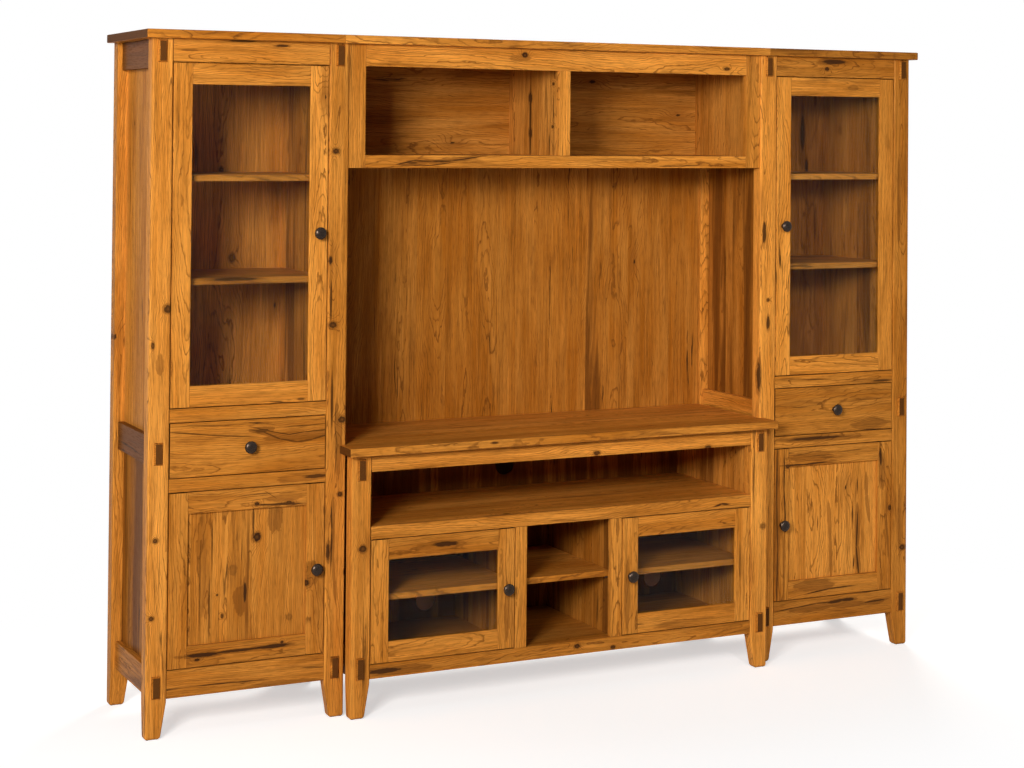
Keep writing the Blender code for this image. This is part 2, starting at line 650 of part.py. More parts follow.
def console():
    """The low case between the towers, with a media bay over two glass doors and a cubby."""
    side_top = CONSOLE_POST_TOP - SEAT - SIDE_RAIL_H
    rails = (SIDE_BOTTOM_Z, side_top)
    top_tenon = CONSOLE_POST_TOP - CONSOLE_TENON_SHOULDER - TENON_H
    tenons = (SIDE_BOTTOM_Z + BOTTOM_TENON_SHOULDER, top_tenon)
    door_z = (CONSOLE_DOOR_Z, MEDIA_RAIL_Z)
    hinges = hinge_heights(door_z)
    for end, label in ((LOW, "left"), (HIGH, "right")):
        front_post(f"console_{label}_front_post", CONSOLE, end, tenons, hinges)
        side_frame(f"console_{label}_side", CONSOLE, end, rails, tenons)
    console_board()
    deck("console_bottom_deck", CONSOLE, CONSOLE_DOOR_Z, (CONSOLE_RAIL_Z, CONSOLE_DOOR_Z))
    deck("console_media_shelf", CONSOLE, MEDIA_Z, (MEDIA_RAIL_Z, MEDIA_Z))

    inside = between_posts(CONSOLE)
    reach = CONSOLE_DOOR_OPEN_W + PARTITION_STILE_W / 2
    left_wall = partition("console_left_partition", inside[LOW] + reach)
    right_wall = partition("console_right_partition", inside[HIGH] - reach)
    left_bay = (inside[LOW], left_wall[LOW])
    cubby = (left_wall[HIGH], right_wall[LOW])
    right_bay = (right_wall[HIGH], inside[HIGH])
    shelf("console_left_shelf", left_bay, CONSOLE_FRONT, CONSOLE_SHELF_Z, left_bay)
    shelf("console_cubby_shelf", cubby, CONSOLE_FRONT, CUBBY_SHELF_Z, cubby)
    shelf("console_right_shelf", right_bay, CONSOLE_FRONT, CONSOLE_SHELF_Z, right_bay)

    back = back_panel("console_back_panel", CONSOLE)
    left_x = inside[LOW] + CONSOLE_DOOR_OPEN_W - BAY_HOLE_INSET
    right_x = inside[HIGH] - BAY_HOLE_INSET
    holes = (("media", 0, MEDIA_HOLE_Z), ("left", left_x, BAY_HOLE_Z), ("right", right_x, BAY_HOLE_Z))
    for place, x, z in holes:
        centre = (x, BACK_Y - BACK_T / 2, z)
        cut(back, cylinder(f"console_{place}_hole", centre, CABLE_HOLE_R, 4 * BACK_T, "y", 32))

    left_opening = (inside[LOW], inside[LOW] + CONSOLE_DOOR_OPEN_W)
    right_opening = (inside[HIGH] - CONSOLE_DOOR_OPEN_W, inside[HIGH])
    door("console_left_door", CONSOLE, LOW, left_opening, door_z, GLASS)
    door("console_right_door", CONSOLE, HIGH, right_opening, door_z, GLASS)


def bridge():
    """The open case over the niche, its top board and the boarded back below it."""
    board_x = NICHE_W / 2 + BOARD_LAP - SEAT
    seams = ((1, 0, 0), (-1, 0, 0), (0, 1, 0))
    board_y = (TOWER_FRONT - BOARD_OVERHANG, BACK_Y)
    board_z = (BOARD_UNDER_Z, BOARD_UNDER_Z + BOARD_T)
    block("bridge_top_board", (-board_x, board_x), board_y, board_z, HICKORY, BOARD_ROUND, 2, seams)

    half = NICHE_W / 2 - SEAT
    front = TOWER_FRONT + BRIDGE_RECESS
    back_y = TOWER_FRONT + NICHE_BACK_Y
    floor_z = BRIDGE_OPEN_Z - BRIDGE_WALL_T
    case_y = (front, back_y + BRIDGE_BACK_T)
    case = block("bridge_case", (-half, half), case_y, (BRIDGE_Z, POST_TOP), HICKORY)
    behind = front + RAIL_T
    below = (BRIDGE_Z - JOIN_LAP, floor_z)
    underside_x = (BRIDGE_WALL_T - half, half - BRIDGE_WALL_T)
    cut(case, block("bridge_underside", underside_x, (behind, back_y), below))
    for side in (-1, 1):
        window_x = (side * BRIDGE_CENTRE_W / 2, side * (half - BRIDGE_STILE_W))
        window_z = (BRIDGE_OPEN_Z, DISPLAY_TOP_Z)
        cut(case, block(f"bridge_window_{side}", window_x, (front - JOIN_LAP, behind + JOIN_LAP), window_z))
        cell_x = (side * BRIDGE_WALL_T / 2, side * (half - BRIDGE_WALL_T))
        cell_z = (BRIDGE_OPEN_Z, POST_TOP + JOIN_LAP)
        cut(case, block(f"bridge_cell_{side}", cell_x, (behind, back_y), cell_z))

    niche_z = (CONSOLE_TOP_Z - NICHE_BACK_FOOT + SEAT, BRIDGE_Z - SEAT)
    block("niche_back_panel", (-half, half), (back_y, back_y + NICHE_BACK_T), niche_z, PANEL_HICKORY)


tower(LEFT_TOWER, LOW)
tower(RIGHT_TOWER, HIGH)
console()
bridge()
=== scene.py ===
import math
import random
from collections import namedtuple

import bmesh
import bpy
import numpy as np
from bpy.props import FloatProperty, FloatVectorProperty, IntProperty, PointerProperty
from mathutils import Matrix, Vector


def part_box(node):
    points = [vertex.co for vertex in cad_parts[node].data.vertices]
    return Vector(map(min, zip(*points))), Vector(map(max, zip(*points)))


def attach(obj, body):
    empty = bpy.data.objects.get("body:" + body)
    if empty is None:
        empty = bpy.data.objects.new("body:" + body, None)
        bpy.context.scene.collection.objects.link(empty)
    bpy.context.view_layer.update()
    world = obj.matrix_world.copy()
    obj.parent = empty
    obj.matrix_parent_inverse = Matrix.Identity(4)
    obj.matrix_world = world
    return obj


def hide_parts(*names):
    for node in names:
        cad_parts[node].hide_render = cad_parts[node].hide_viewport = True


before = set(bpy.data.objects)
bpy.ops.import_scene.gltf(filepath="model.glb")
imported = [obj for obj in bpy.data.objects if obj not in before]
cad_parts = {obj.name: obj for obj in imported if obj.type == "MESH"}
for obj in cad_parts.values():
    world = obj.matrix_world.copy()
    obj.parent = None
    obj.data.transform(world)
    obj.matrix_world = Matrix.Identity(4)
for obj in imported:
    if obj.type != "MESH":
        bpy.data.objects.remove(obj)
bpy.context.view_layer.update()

bl_info = {
    "name": "Hickory wall unit",
    "version": (1, 0, 0),
    "blender": (4, 5, 0),
    "location": "3D View > Sidebar > Wall Unit",
    "description": "Dresses the wall unit's frame with hickory boards, glass and bronze",
    "category": "Object",
}

# Limits of a piece on the three axes, each a (low, high) pair in metres
Box = namedtuple("Box", "x y z")


def box_of(node):
    """A frame node's limits at rest."""
    low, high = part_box(node)
    return Box((low.x, high.x), (low.y, high.y), (low.z, high.z))


# Sizes that several pieces share, in metres
SEAT = 0.0003
POST_W = 0.0635
POST_D = 0.050
POST_ROUND = 0.0055
FOOT_Z = 0.106
FOOT_TAPER_X = 0.0175
FOOT_TAPER_Y = 0.012
FOOT_ROUND = 0.010
FACE_RECESS = 0.003
RAIL_T = 0.021
DECK_T = 0.020
BOARD_T = 0.026
SIDE_RECESS = 0.0145
SIDE_RAIL_T = 0.032
SIDE_RAIL_H = 0.085
SIDE_PANEL_RECESS = 0.033
SIDE_PANEL_T = 0.0085
TENON_W = 0.026
TENON_H = 0.066
TENON_PROUD = 0.008
BACK_T = 0.006
STILE_W = 0.057
DOOR_RAIL_H = 0.063
DOOR_T = 0.021
REBATE_W = 0.008
PIN_R = 0.003
PIN_L = 0.010
PIN_INSET = 0.008
SHELF_GAP = 0.001
APRON_H = 0.081
DRAWER_RAIL_H = 0.0395
DISPLAY_RAIL_H = 0.040
CONSOLE_RAIL_H = 0.0426
MEDIA_RAIL_H = 0.0394
TOWER_TOP_RAIL_H = 0.068
CONSOLE_TOP_RAIL_H = 0.054
SIDE_RAIL_Z = (0.118, 0.797)
TENON_Z = (0.120, 0.804)
TENON_FLAT = TENON_PROUD * 0.72
TENON_CHAMFER = 0.0035
DOOR_GAP = 0.003
LIP_T = {"pane": 0.008, "panel": 0.011}
BOX_GAP = 0.006
BOX_WALL_T = 0.012
BOX_BASE_T = 0.008
BOX_H = 0.110
RUNNER_W = 0.016
RUNNER_H = 0.010
RUNNER_START = 0.004
RUNNER_END = 0.365
CASE_WALL_T = 0.020
BRIDGE_BACK_T = 0.008
BRIDGE_RAIL_H = 0.040
BRIDGE_STILE_W = 0.056
BRIDGE_MULLION_W = 0.040
GLUED_EASE = 0.0004
LINING_EASE = 0.0005
BACK_EASE = 0.0003
TOWER_TENON_DROP = 0.004
CONSOLE_TENON_DROP = 0.012
DISC_GAP = 0.001

# Concealed hinges: their distance from a door's ends, the cup's from its edge, and their parts' sizes
HINGE_END = 0.072
CUP_INSET = 0.022
CUP_R = 0.0175
CUP_T = 0.0015
CUP_EASE = 0.0004
PLATE_T = 0.003
PLATE_Y = (0.001, 0.021)
PLATE_H = 0.046
PLATE_EASE = 0.0008
ARM_X = (0.0005, 0.032)
ARM_T = 0.011
ARM_H = 0.014
ARM_EASE = 0.0016

LEFT_POST = box_of("left_tower_outer_front_post")
NICHE_POST = box_of("left_tower_inner_front_post")
CONSOLE_POST = box_of("console_left_front_post")
TOWER_FRONT = LEFT_POST.y[0]
CONSOLE_FRONT = CONSOLE_POST.y[0]
BACK_Y = box_of("left_tower_back_panel").y[1]
CABLE_HOLES = ((0.0, 0.655), (0.583, 0.220), (-0.289, 0.220))
CABLE_HOLE_R = 0.035
POST_TOP = LEFT_POST.z[1]
BOARD_Z = box_of("left_tower_top_board").z[1] - BOARD_T
CONSOLE_TOP = box_of("console_top_board").z[1]

# The photograph and its camera: pixels, metres, degrees and millimetres
PHOTO_W = 1024
PHOTO_H = 768
CAMERA_PLACE = (-2.98851, -6.12189, 1.78128)
YAW = -27.09097
PITCH = 90.91062
ROLL = 0.47188
LENS = 72.1814
SENSOR_W = 36.0
SHIFT_X = -0.06641
SHIFT_Y = -0.27403

Case = namedtuple("Case", "name x front top")
CASES = {
    "left_tower": Case("left_tower", (LEFT_POST.x[0], NICHE_POST.x[1]), TOWER_FRONT, POST_TOP),
    "right_tower": Case("right_tower", (-NICHE_POST.x[1], -LEFT_POST.x[0]), TOWER_FRONT, POST_TOP),
    "console": Case("console", (CONSOLE_POST.x[0], -CONSOLE_POST.x[0]), CONSOLE_FRONT, CONSOLE_POST.z[1]),
}
TOWERS = ("left_tower", "right_tower")
LOW = 0
HIGH = 1


# Settings


def colour(name, description, default):
    return FloatVectorProperty(
        name=name, description=description, subtype="COLOR", size=3, min=0.0, max=1.0, default=default
    )


def length(name, description, default):
    return FloatProperty(
        name=name, description=description, subtype="DISTANCE", unit="LENGTH", min=0.0, default=default
    )


def share(name, description, default):
    return FloatProperty(
        name=name, description=description, subtype="FACTOR", min=0.0, max=1.0, default=default
    )


def power(name, description, default):
    return FloatProperty(name=name, description=description, unit="POWER", min=0.0, default=default)


class WoodSettings(bpy.types.PropertyGroup):
    """The hickory boards and their lacquer."""

    light: colour("Light wood", "Sapwood and the pale parts of the rings", (0.78, 0.318, 0.052))
    middle: colour("Middle wood", "The wood's usual honey brown", (0.46, 0.143, 0.012))
    heart: colour("Heartwood", "Darker bands of heartwood", (0.18, 0.054, 0.008))
    streak: colour("Streaks", "Mineral streaks and the cores of knots", (0.028, 0.011, 0.005))
    end_grain: colour("End grain", "Sawn ends, such as the tenons'", (0.105, 0.036, 0.007))
    ring: length("Ring width", "Distance between two growth rings", 0.0052)
    ease: length("Eased edge", "Radius of the boards' arrises", 0.0012)
    post_round: length("Post rounding", "Radius of the posts' arrises", POST_ROUND)
    board_round: length("Top rounding", "Radius of the top boards' arrises", 0.003)
    roughness: share("Lacquer roughness", "Roughness of the satin lacquer", 0.36)


class MetalSettings(bpy.types.PropertyGroup):
    """The knobs, hinges and shelf pins."""

    bronze: colour("Bronze", "Dark oil rubbed bronze of the knobs", (0.026, 0.018, 0.014))
    worn: colour("Worn bronze", "Bronze where hands have polished it", (0.11, 0.070, 0.045))
    steel: colour("Hinge steel", "Plated steel of hinges and pins", (0.30, 0.29, 0.28))
    turns: IntProperty(name="Knob steps", description="Steps round a turned knob", min=12, default=40)


class GlassSettings(bpy.types.PropertyGroup):
    """The panes of the display and console doors."""

    tint: colour("Tint", "Colour of the clear glass", (0.93, 0.95, 0.94))
    roughness: share("Roughness", "Roughness of the polished panes", 0.0)


class StageSettings(bpy.types.PropertyGroup):
    """The floor, the lamps and the camera."""

    floor: colour("Floor", "The pale studio floor", (0.80, 0.80, 0.80))
    key: power("Key lamp", "Power of the key lamp", 376.0)
    side: power("Side lamp", "Power of the side lamp", 10.0)
    fill: power("Fill lamp", "Power of the fill lamp", 6.0)
    far: power("Far lamp", "Power of the right end's lamp", 335.0)
    back: power("Back lamp", "Power of the lamp behind", 190.0)
    sky: FloatProperty(
        name="Ambient light", description="Strength of the world's light", min=0.0, default=0.020
    )
    lens: FloatProperty(
        name="Lens", description="Focal length", subtype="DISTANCE_CAMERA", unit="CAMERA", default=LENS
    )


# Shader nodes


class Net:
    """Short calls that add nodes to one tree and feed their sockets."""

    def __init__(self, tree):
        self.tree = tree

    def feed(self, socket, given):
        if isinstance(given, bpy.types.NodeSocket):
            self.tree.links.new(given, socket)
        elif given is not None:
            if hasattr(given, "__len__") and socket.type == "RGBA" and len(given) == 3:
                given = (*given, 1.0)
            socket.default_value = given

    def add(self, kind, **settings):
        made = self.tree.nodes.new(kind)
        for name, given in settings.items():
            setattr(made, name, given)
        return made

    def math(self, operation, *given, clamp=False):
        made = self.add("ShaderNodeMath", operation=operation, use_clamp=clamp)
        for socket, item in zip(made.inputs, given):
            self.feed(socket, item)
        return made.outputs[0]

    def times(self, a, b):
        return self.math("MULTIPLY", a, b)

    def plus(self, a, b):
        return self.math("ADD", a, b)

    def less(self, a, b):
        return self.math("SUBTRACT", a, b)

    def most(self, a, b):
        return self.math("MAXIMUM", a, b)

    def vector(self, operation, *given):
        made = self.add("ShaderNodeVectorMath", operation=operation)
        if operation == "SCALE":
            self.feed(made.inputs[0], given[0])
            self.feed(made.inputs["Scale"], given[1])
        else:
            for socket, item in zip(made.inputs, given):
                self.feed(socket, item)
        return made.outputs["Value"] if operation == "LENGTH" else made.outputs[0]

    def stretch(self, given, factors):
        return self.vector("MULTIPLY", given, factors)

    def split(self, given):
        made = self.add("ShaderNodeSeparateXYZ")
        self.feed(made.inputs[0], given)
        return made.outputs

    def join(self, x, y, z):
        made = self.add("ShaderNodeCombineXYZ")
        for socket, item in zip(made.inputs, (x, y, z)):
            self.feed(socket, item)
        return made.outputs[0]

    def noise(self, place, scale=1.0, detail=2.0, roughness=0.5, distortion=0.0):
        made = self.add("ShaderNodeTexNoise")
        self.feed(made.inputs["Vector"], place)
        made.inputs["Scale"].default_value = scale
        made.inputs["Detail"].default_value = detail
        made.inputs["Roughness"].default_value = roughness
        made.inputs["Distortion"].default_value = distortion
        return made.outputs

    def range(self, given, low, high, to_low=0.0, to_high=1.0, smooth=True):
        made = self.add("ShaderNodeMapRange")
        made.interpolation_type = "SMOOTHSTEP" if smooth else "LINEAR"
        for socket, item in zip(made.inputs, (given, low, high, to_low, to_high)):
            self.feed(socket, item)
        return made.outputs[0]

    def linear(self, given, low, high, to_low, to_high):
        return self.range(given, low, high, to_low, to_high, smooth=False)

    def mix_shaders(self, share_of_b, a, b):
        made = self.add("ShaderNodeMixShader")
        for socket, item in zip(made.inputs, (share_of_b, a, b)):
            self.feed(socket, item)
        return made.outputs[0]

    def blend(self, share_of_b, a, b, kind="MIX"):
        made = self.add("ShaderNodeMix", data_type="RGBA", blend_type=kind, clamp_factor=True)
        self.feed(made.inputs[0], share_of_b)
        self.feed(made.inputs[6], a)
        self.feed(made.inputs[7], b)
        return made.outputs[2]


def new_group(name, inputs, outputs):
    """A shader node group with named sockets, its net and its two end nodes."""
    tree = bpy.data.node_groups.new(name, "ShaderNodeTree")
    for socket_name, kind in inputs:
        tree.interface.new_socket(name=socket_name, in_out="INPUT", socket_type=kind)
    for socket_name, kind in outputs:
        tree.interface.new_socket(name=socket_name, in_out="OUTPUT", socket_type=kind)
    net = Net(tree)
    return tree, net, net.add("NodeGroupInput").outputs, net.add("NodeGroupOutput").inputs


FLOAT = "NodeSocketFloat"
VECTOR = "NodeSocketVector"
COLOUR = "NodeSocketColor"


def figure_group():
    """Hickory on a board: rings, fibres, pores, heartwood, mineral streaks and small knots.

    Grain is the place in the log in metres, along the grain, across the board and through it,
    counted from the pith. Board holds the board's tone, warmth and heartwood. End is 1 on end grain.
    Swell bends the rings round a mark, Brown adds heartwood and Dark adds a knot's core.
    """
    inputs = [
        ("Grain", VECTOR),
        ("Board", COLOUR),
        ("End", FLOAT),
        ("Swell", FLOAT),
        ("Brown", FLOAT),
        ("Dark", FLOAT),
        ("Light", COLOUR),
        ("Middle", COLOUR),
        ("Heart", COLOUR),
        ("Streak", COLOUR),
        ("End Grain", COLOUR),
        ("Ring Width", FLOAT),
        ("Roughness", FLOAT),
    ]
    outputs = [("Color", COLOUR), ("Roughness", FLOAT), ("Height", FLOAT)]
    tree, net, given, result = new_group("hickory figure", inputs, outputs)
    across, through = net.split(given["Grain"])[1:]
    board = net.add("ShaderNodeSeparateColor")
    net.feed(board.inputs[0], given["Board"])
    tone, warmth, heart_share = board.outputs

    def along_grain(factors, detail, roughness=0.5, distortion=0.0):
        """Noise stretched by factors along the grain, across the board and through it."""
        return net.noise(net.stretch(given["Grain"], factors), 1.0, detail, roughness, distortion)

    # Knots: one may lie in each cell of a long grid, and the grain bends round it
    cell = net.stretch(given["Grain"], (1.9, 6.5, 0.0))
    cells = net.add("ShaderNodeTexVoronoi", voronoi_dimensions="2D")
    net.feed(cells.inputs["Vector"], cell)
    cells.inputs["Scale"].default_value = 1.0
    off = net.vector("SUBTRACT", cell, cells.outputs["Position"])
    off = net.stretch(off, (1 / 1.9, 1 / 6.5, 0.0))
    chance = net.split(cells.outputs["Color"])
    is_knot = net.math("GREATER_THAN", chance[0], 0.86)
    reach = net.vector("LENGTH", net.stretch(off, (0.45, 1.0, 0.0)))
    bend = net.times(net.range(reach, 0.0, 0.040, 1.0, 0.0), is_knot)
    size = net.linear(chance[1], 0.0, 1.0, 0.003, 0.009)
    wobble = net.noise(net.stretch(off, (90.0, 200.0, 0.0)), 1.0, 3.0, 0.65)[0]
    core = net.plus(reach, net.times(net.less(wobble, 0.5), 0.010))
    knot = net.times(net.range(core, net.times(size, 0.45), size, 1.0, 0.0), is_knot)

    # Slow waves of the log, so that rings run in long arches, and short ones that fray them
    slow = along_grain((1.3, 3.0, 3.0), 1.0)[1]
    shift = net.vector("SCALE", net.vector("SUBTRACT", slow, (0.5, 0.5, 0.5)), 0.130)
    shift_x, shift_y = net.split(shift)[:2]
    wave = along_grain((3.6, 15.0, 8.0), 3.0, 0.55, 0.2)[0]
    radius = net.vector("LENGTH", net.join(net.plus(across, shift_x), net.plus(through, shift_y), 0.0))
    radius = net.plus(radius, net.times(wave, 0.030))
    jog = along_grain((45.0, 110.0, 60.0), 2.0, 0.5)[0]
    radius = net.plus(radius, net.times(jog, 0.0032))
    radius = net.plus(radius, net.times(bend, 0.016))
    radius = net.plus(radius, net.times(given["Swell"], 0.018))
    turns = net.math("DIVIDE", radius, given["Ring Width"])
    ring = net.math("FRACT", turns)
    late = net.times(net.range(ring, 0.62, 0.90), net.range(ring, 0.90, 1.0, 1.0, 0.0))
    year = net.noise(net.join(net.math("FLOOR", turns), 0.0, 0.0), 0.73, 0.0)[0]
    late = net.times(late, net.range(year, 0.3, 0.65, 0.12, 1.0))

    # Fibres and pores, drawn out along the grain
    fibre = along_grain((3.2, 150.0, 150.0), 3.0, 0.7)[0]
    ribbon = along_grain((2.6, 40.0, 26.0), 3.0, 0.6, 0.6)[0]
    pore = along_grain((28.0, 420.0, 420.0), 2.0)[0]
    pore = net.range(pore, 0.50, 0.66)
    late = net.times(late, net.range(pore, 0.0, 1.0, 0.88, 1.0))

    # Heartwood in broad bands and mineral streaks in thin ones
    band = along_grain((0.9, 17.0, 9.0), 4.0, 0.6, 0.5)[0]
    limit = net.less(0.84, net.times(heart_share, 0.62))
    heart = net.range(band, net.less(limit, 0.06), net.plus(limit, 0.06))
    blush = along_grain((5.0, 34.0, 22.0), 3.0, 0.6, 0.8)[0]
    heart = net.most(heart, net.range(blush, 0.52, 0.74, 0.0, 0.55))
    edge = net.plus(given["Brown"], net.linear(ribbon, 0.25, 0.75, -0.34, 0.34))
    edge = net.plus(edge, net.linear(fibre, 0.25, 0.75, -0.20, 0.20))
    brown = net.times(net.range(edge, 0.22, 0.62), net.range(given["Brown"], 0.0, 0.3, 0.0, 0.72))
    heart = net.most(heart, brown)
    streak = along_grain((3.4, 75.0, 40.0), 4.0, 0.62, 0.9)[0]
    patch = along_grain((2.1, 13.0, 9.0), 2.0)[0]
    patch = net.range(patch, 0.50, 0.66)
    streak = net.range(net.plus(streak, net.times(patch, 0.05)), 0.64, 0.71)
    streak = net.times(streak, patch)

    # Colours, from the palest ground to the darkest core
    cloud = along_grain((2.4, 16.0, 12.0), 2.0, 0.5)[0]
    pale = net.plus(net.times(net.range(ribbon, 0.30, 0.70), 0.6), net.range(cloud, 0.3, 0.7, -0.2, 0.7))
    pale = net.plus(pale, net.times(tone, 0.85))
    wood = net.blend(net.times(pale, 0.46), given["Middle"], given["Light"])
    wood = net.blend(net.times(heart, 0.80), wood, given["Heart"])
    shade = net.times(net.linear(fibre, 0.30, 0.70, 0.74, 1.22), net.linear(tone, 0.0, 1.0, 0.62, 1.18))
    greener = net.linear(warmth, 0.0, 1.0, 1.05, 0.95)
    bluer = net.linear(warmth, 0.0, 1.0, 1.20, 0.80)
    redder = net.join(1.0, greener, bluer)
    wood = net.stretch(net.vector("SCALE", wood, shade), redder)
    wood = net.blend(net.times(late, 0.90), wood, net.vector("SCALE", given["Heart"], 0.85))
    wood = net.blend(net.times(pore, 0.26), wood, given["Streak"])
    wood = net.blend(net.times(streak, 0.85), wood, given["Streak"])
    around = net.most(bend, net.times(given["Swell"], 0.5))
    wood = net.blend(net.times(around, 0.36), wood, given["Heart"])
    dark = net.most(knot, given["Dark"])
    wood = net.blend(net.times(dark, 0.93), wood, given["Streak"])
    sawn = net.vector("SCALE", given["End Grain"], net.linear(net.plus(late, fibre), 0.2, 1.4, 1.15, 0.75))
    net.feed(result["Color"], net.blend(given["End"], wood, sawn))

    gloss = net.plus(given["Roughness"], net.times(late, 0.05))
    gloss = net.plus(gloss, net.times(pore, 0.12))
    gloss = net.math("ADD", gloss, net.times(net.most(dark, given["End"]), 0.16), clamp=True)
    net.feed(result["Roughness"], gloss)
    height = net.less(net.times(fibre, 0.3), net.times(pore, 0.6))
    height = net.less(height, net.times(late, 0.3))
    height = net.less(height, net.times(dark, 0.6))
    net.feed(result["Height"], height)
    return tree


def mark_group():
    """One knot, streak or patch of heartwood at a place on a piece, ragged along its length,
    with its brown fringe and the halo in which the grain bends round it."""
    inputs = [(name, VECTOR) for name in ("Place", "Centre", "Half Size", "Turn")]
    inputs += [(name, FLOAT) for name in ("Ragged", "Core")]
    outputs = [(name, FLOAT) for name in ("Mask", "Fringe", "Halo")]
    tree, net, given, result = new_group("grain mark", inputs, outputs)
    off = net.vector("SUBTRACT", given["Place"], given["Centre"])
    turn = net.add("ShaderNodeVectorRotate", rotation_type="EULER_XYZ")
    net.feed(turn.inputs["Vector"], off)
    net.feed(turn.inputs["Rotation"], given["Turn"])
    away = net.vector("DIVIDE", turn.outputs[0], given["Half Size"])
    own = net.vector("ADD", away, net.vector("SCALE", given["Centre"], 37.0))
    noise = net.add("ShaderNodeSeparateColor")
    net.feed(noise.inputs[0], net.noise(net.stretch(own, (1.9, 1.9, 1.9)), 1.0, 4.0, 0.65)[1])
    frayed = net.vector("SUBTRACT", net.join(*noise.outputs), (0.5, 0.5, 0.5))
    frayed = net.vector("SCALE", frayed, given["Ragged"])
    reach = net.vector("LENGTH", net.vector("ADD", away, frayed))
    rim = net.times(net.range(reach, 0.74, 1.02, 1.0, 0.0), net.range(reach, 0.0, 0.6, given["Core"], 1.0))
    net.feed(result["Mask"], rim)
    net.feed(result["Fringe"], net.range(reach, 0.9, 1.8, 0.85, 0.0))
    halo = net.range(net.vector("LENGTH", away), 0.0, 4.5, 1.0, 0.0)
    net.feed(result["Halo"], net.times(halo, halo))
    return tree


def surface(name):
    """A new material, its net and its Principled BSDF."""
    material = bpy.data.materials.new(name)
    material.use_nodes = True
    return material, Net(material.node_tree), material.node_tree.nodes["Principled BSDF"]


def show(material, net, closure):
    """Feeds the material's surface with something other than its own shader."""
    net.feed(material.node_tree.nodes["Material Output"].inputs["Surface"], closure)


def bump(net, shader, height, distance, strength):
    made = net.add("ShaderNodeBump")
    net.feed(made.inputs["Height"], height)
    made.inputs["Distance"].default_value = distance
    made.inputs["Strength"].default_value = strength
    net.feed(shader.inputs["Normal"], made.outputs[0])


def hickory(name, marks=(), from_place=False):
    """Lacquered hickory, with its own knots and streaks. Boards carry their grain as attributes;
    a frame node has none, so its grain runs upright from its own place."""
    wood = bpy.context.scene.wall_unit_wood
    material, net, shader = surface(name)
    place = net.add("ShaderNodeTexCoord").outputs["Object"]
    figure = net.add("ShaderNodeGroup", node_tree=bpy.data.node_groups["hickory figure"])
    if from_place:
        x, y, z = net.split(place)
        net.feed(figure.inputs["Grain"], net.join(z, x, net.plus(y, 0.06)))
        # The upright boards have a low tone and much heartwood, partly as painted shade inside the console's
        # bays
        figure.inputs["Board"].default_value = (0.10, 0.5, 0.60, 1.0)
    else:
        grain = net.add("ShaderNodeAttribute", attribute_name="grain")
        board = net.add("ShaderNodeAttribute", attribute_name="board")
        net.feed(figure.inputs["Grain"], grain.outputs["Vector"])
        net.feed(figure.inputs["Board"], board.outputs["Color"])
        net.feed(figure.inputs["End"], board.outputs["Alpha"])
    for socket, given in (
        ("Light", wood.light),
        ("Middle", wood.middle),
        ("Heart", wood.heart),
        ("Streak", wood.streak),
        ("End Grain", wood.end_grain),
    ):
        net.feed(figure.inputs[socket], tuple(given))
    figure.inputs["Ring Width"].default_value = wood.ring
    figure.inputs["Roughness"].default_value = wood.roughness
    sums = {"Dark": None, "Brown": None, "Swell": None}
    for kind, centre, half, turn, ragged, strength in marks:
        mark = net.add("ShaderNodeGroup", node_tree=bpy.data.node_groups["grain mark"])
        net.feed(mark.inputs["Place"], place)
        for socket, given in (
            ("Centre", centre),
            ("Half Size", half),
            ("Turn", (0.0, math.radians(turn), 0.0)),
            ("Ragged", ragged),
            ("Core", KNOT_CORE if kind == KNOT else 1.0),
        ):
            net.feed(mark.inputs[socket], given)
        parts = [("Brown" if kind == HEART else "Dark", mark.outputs["Mask"], "MAXIMUM")]
        if kind != HEART:
            parts.append(("Brown", mark.outputs["Fringe"], "MAXIMUM"))
        if kind == KNOT:
            parts.append(("Swell", mark.outputs["Halo"], "ADD"))
        for part, amount, join in parts:
            amount = net.times(amount, strength)
            sums[part] = amount if sums[part] is None else net.math(join, sums[part], amount)
    for part, amount in sums.items():
        if amount is not None:
            net.feed(figure.inputs[part], amount)
    net.feed(shader.inputs["Base Color"], figure.outputs["Color"])
    net.feed(shader.inputs["Roughness"], figure.outputs["Roughness"])
    shader.inputs["Specular IOR Level"].default_value = 0.02
    shader.inputs["Coat Weight"].default_value = 0.03
    shader.inputs["Coat Roughness"].default_value = 0.22
    bump(net, shader, figure.outputs["Height"], 0.0004, 0.35)
    return material


def bronze(name):
    """Dark bronze, rubbed brighter on its crowns."""
    metal = bpy.context.scene.wall_unit_metal
    material, net, shader = surface(name)
    place = net.add("ShaderNodeTexCoord").outputs["Object"]
    cloud = net.noise(place, 260.0, 3.0, 0.6)[0]
    point = net.add("ShaderNodeNewGeometry").outputs["Pointiness"]
    rubbed = net.range(net.plus(point, net.times(cloud, 0.06)), 0.53, 0.62)
    net.feed(shader.inputs["Base Color"], net.blend(rubbed, tuple(metal.bronze), tuple(metal.worn)))
    shader.inputs["Metallic"].default_value = 0.9
    net.feed(shader.inputs["Roughness"], net.range(cloud, 0.3, 0.7, 0.22, 0.34))
    bump(net, shader, cloud, 0.0002, 0.2)
    return material


def steel(name):
    """Nickel plated steel of hinges and shelf pins."""
    metal = bpy.context.scene.wall_unit_metal
    material, net, shader = surface(name)
    place = net.add("ShaderNodeTexCoord").outputs["Object"]
    brushed = net.noise(net.stretch(place, (900.0, 900.0, 60.0)), 1.0, 2.0)[0]
    dull = tuple(v * 0.7 for v in metal.steel)
    net.feed(shader.inputs["Base Color"], net.blend(brushed, dull, tuple(metal.steel)))
    shader.inputs["Metallic"].default_value = 1.0
    net.feed(shader.inputs["Roughness"], net.range(brushed, 0.2, 0.8, 0.26, 0.40))
    bump(net, shader, brushed, 0.0001, 0.15)
    return material


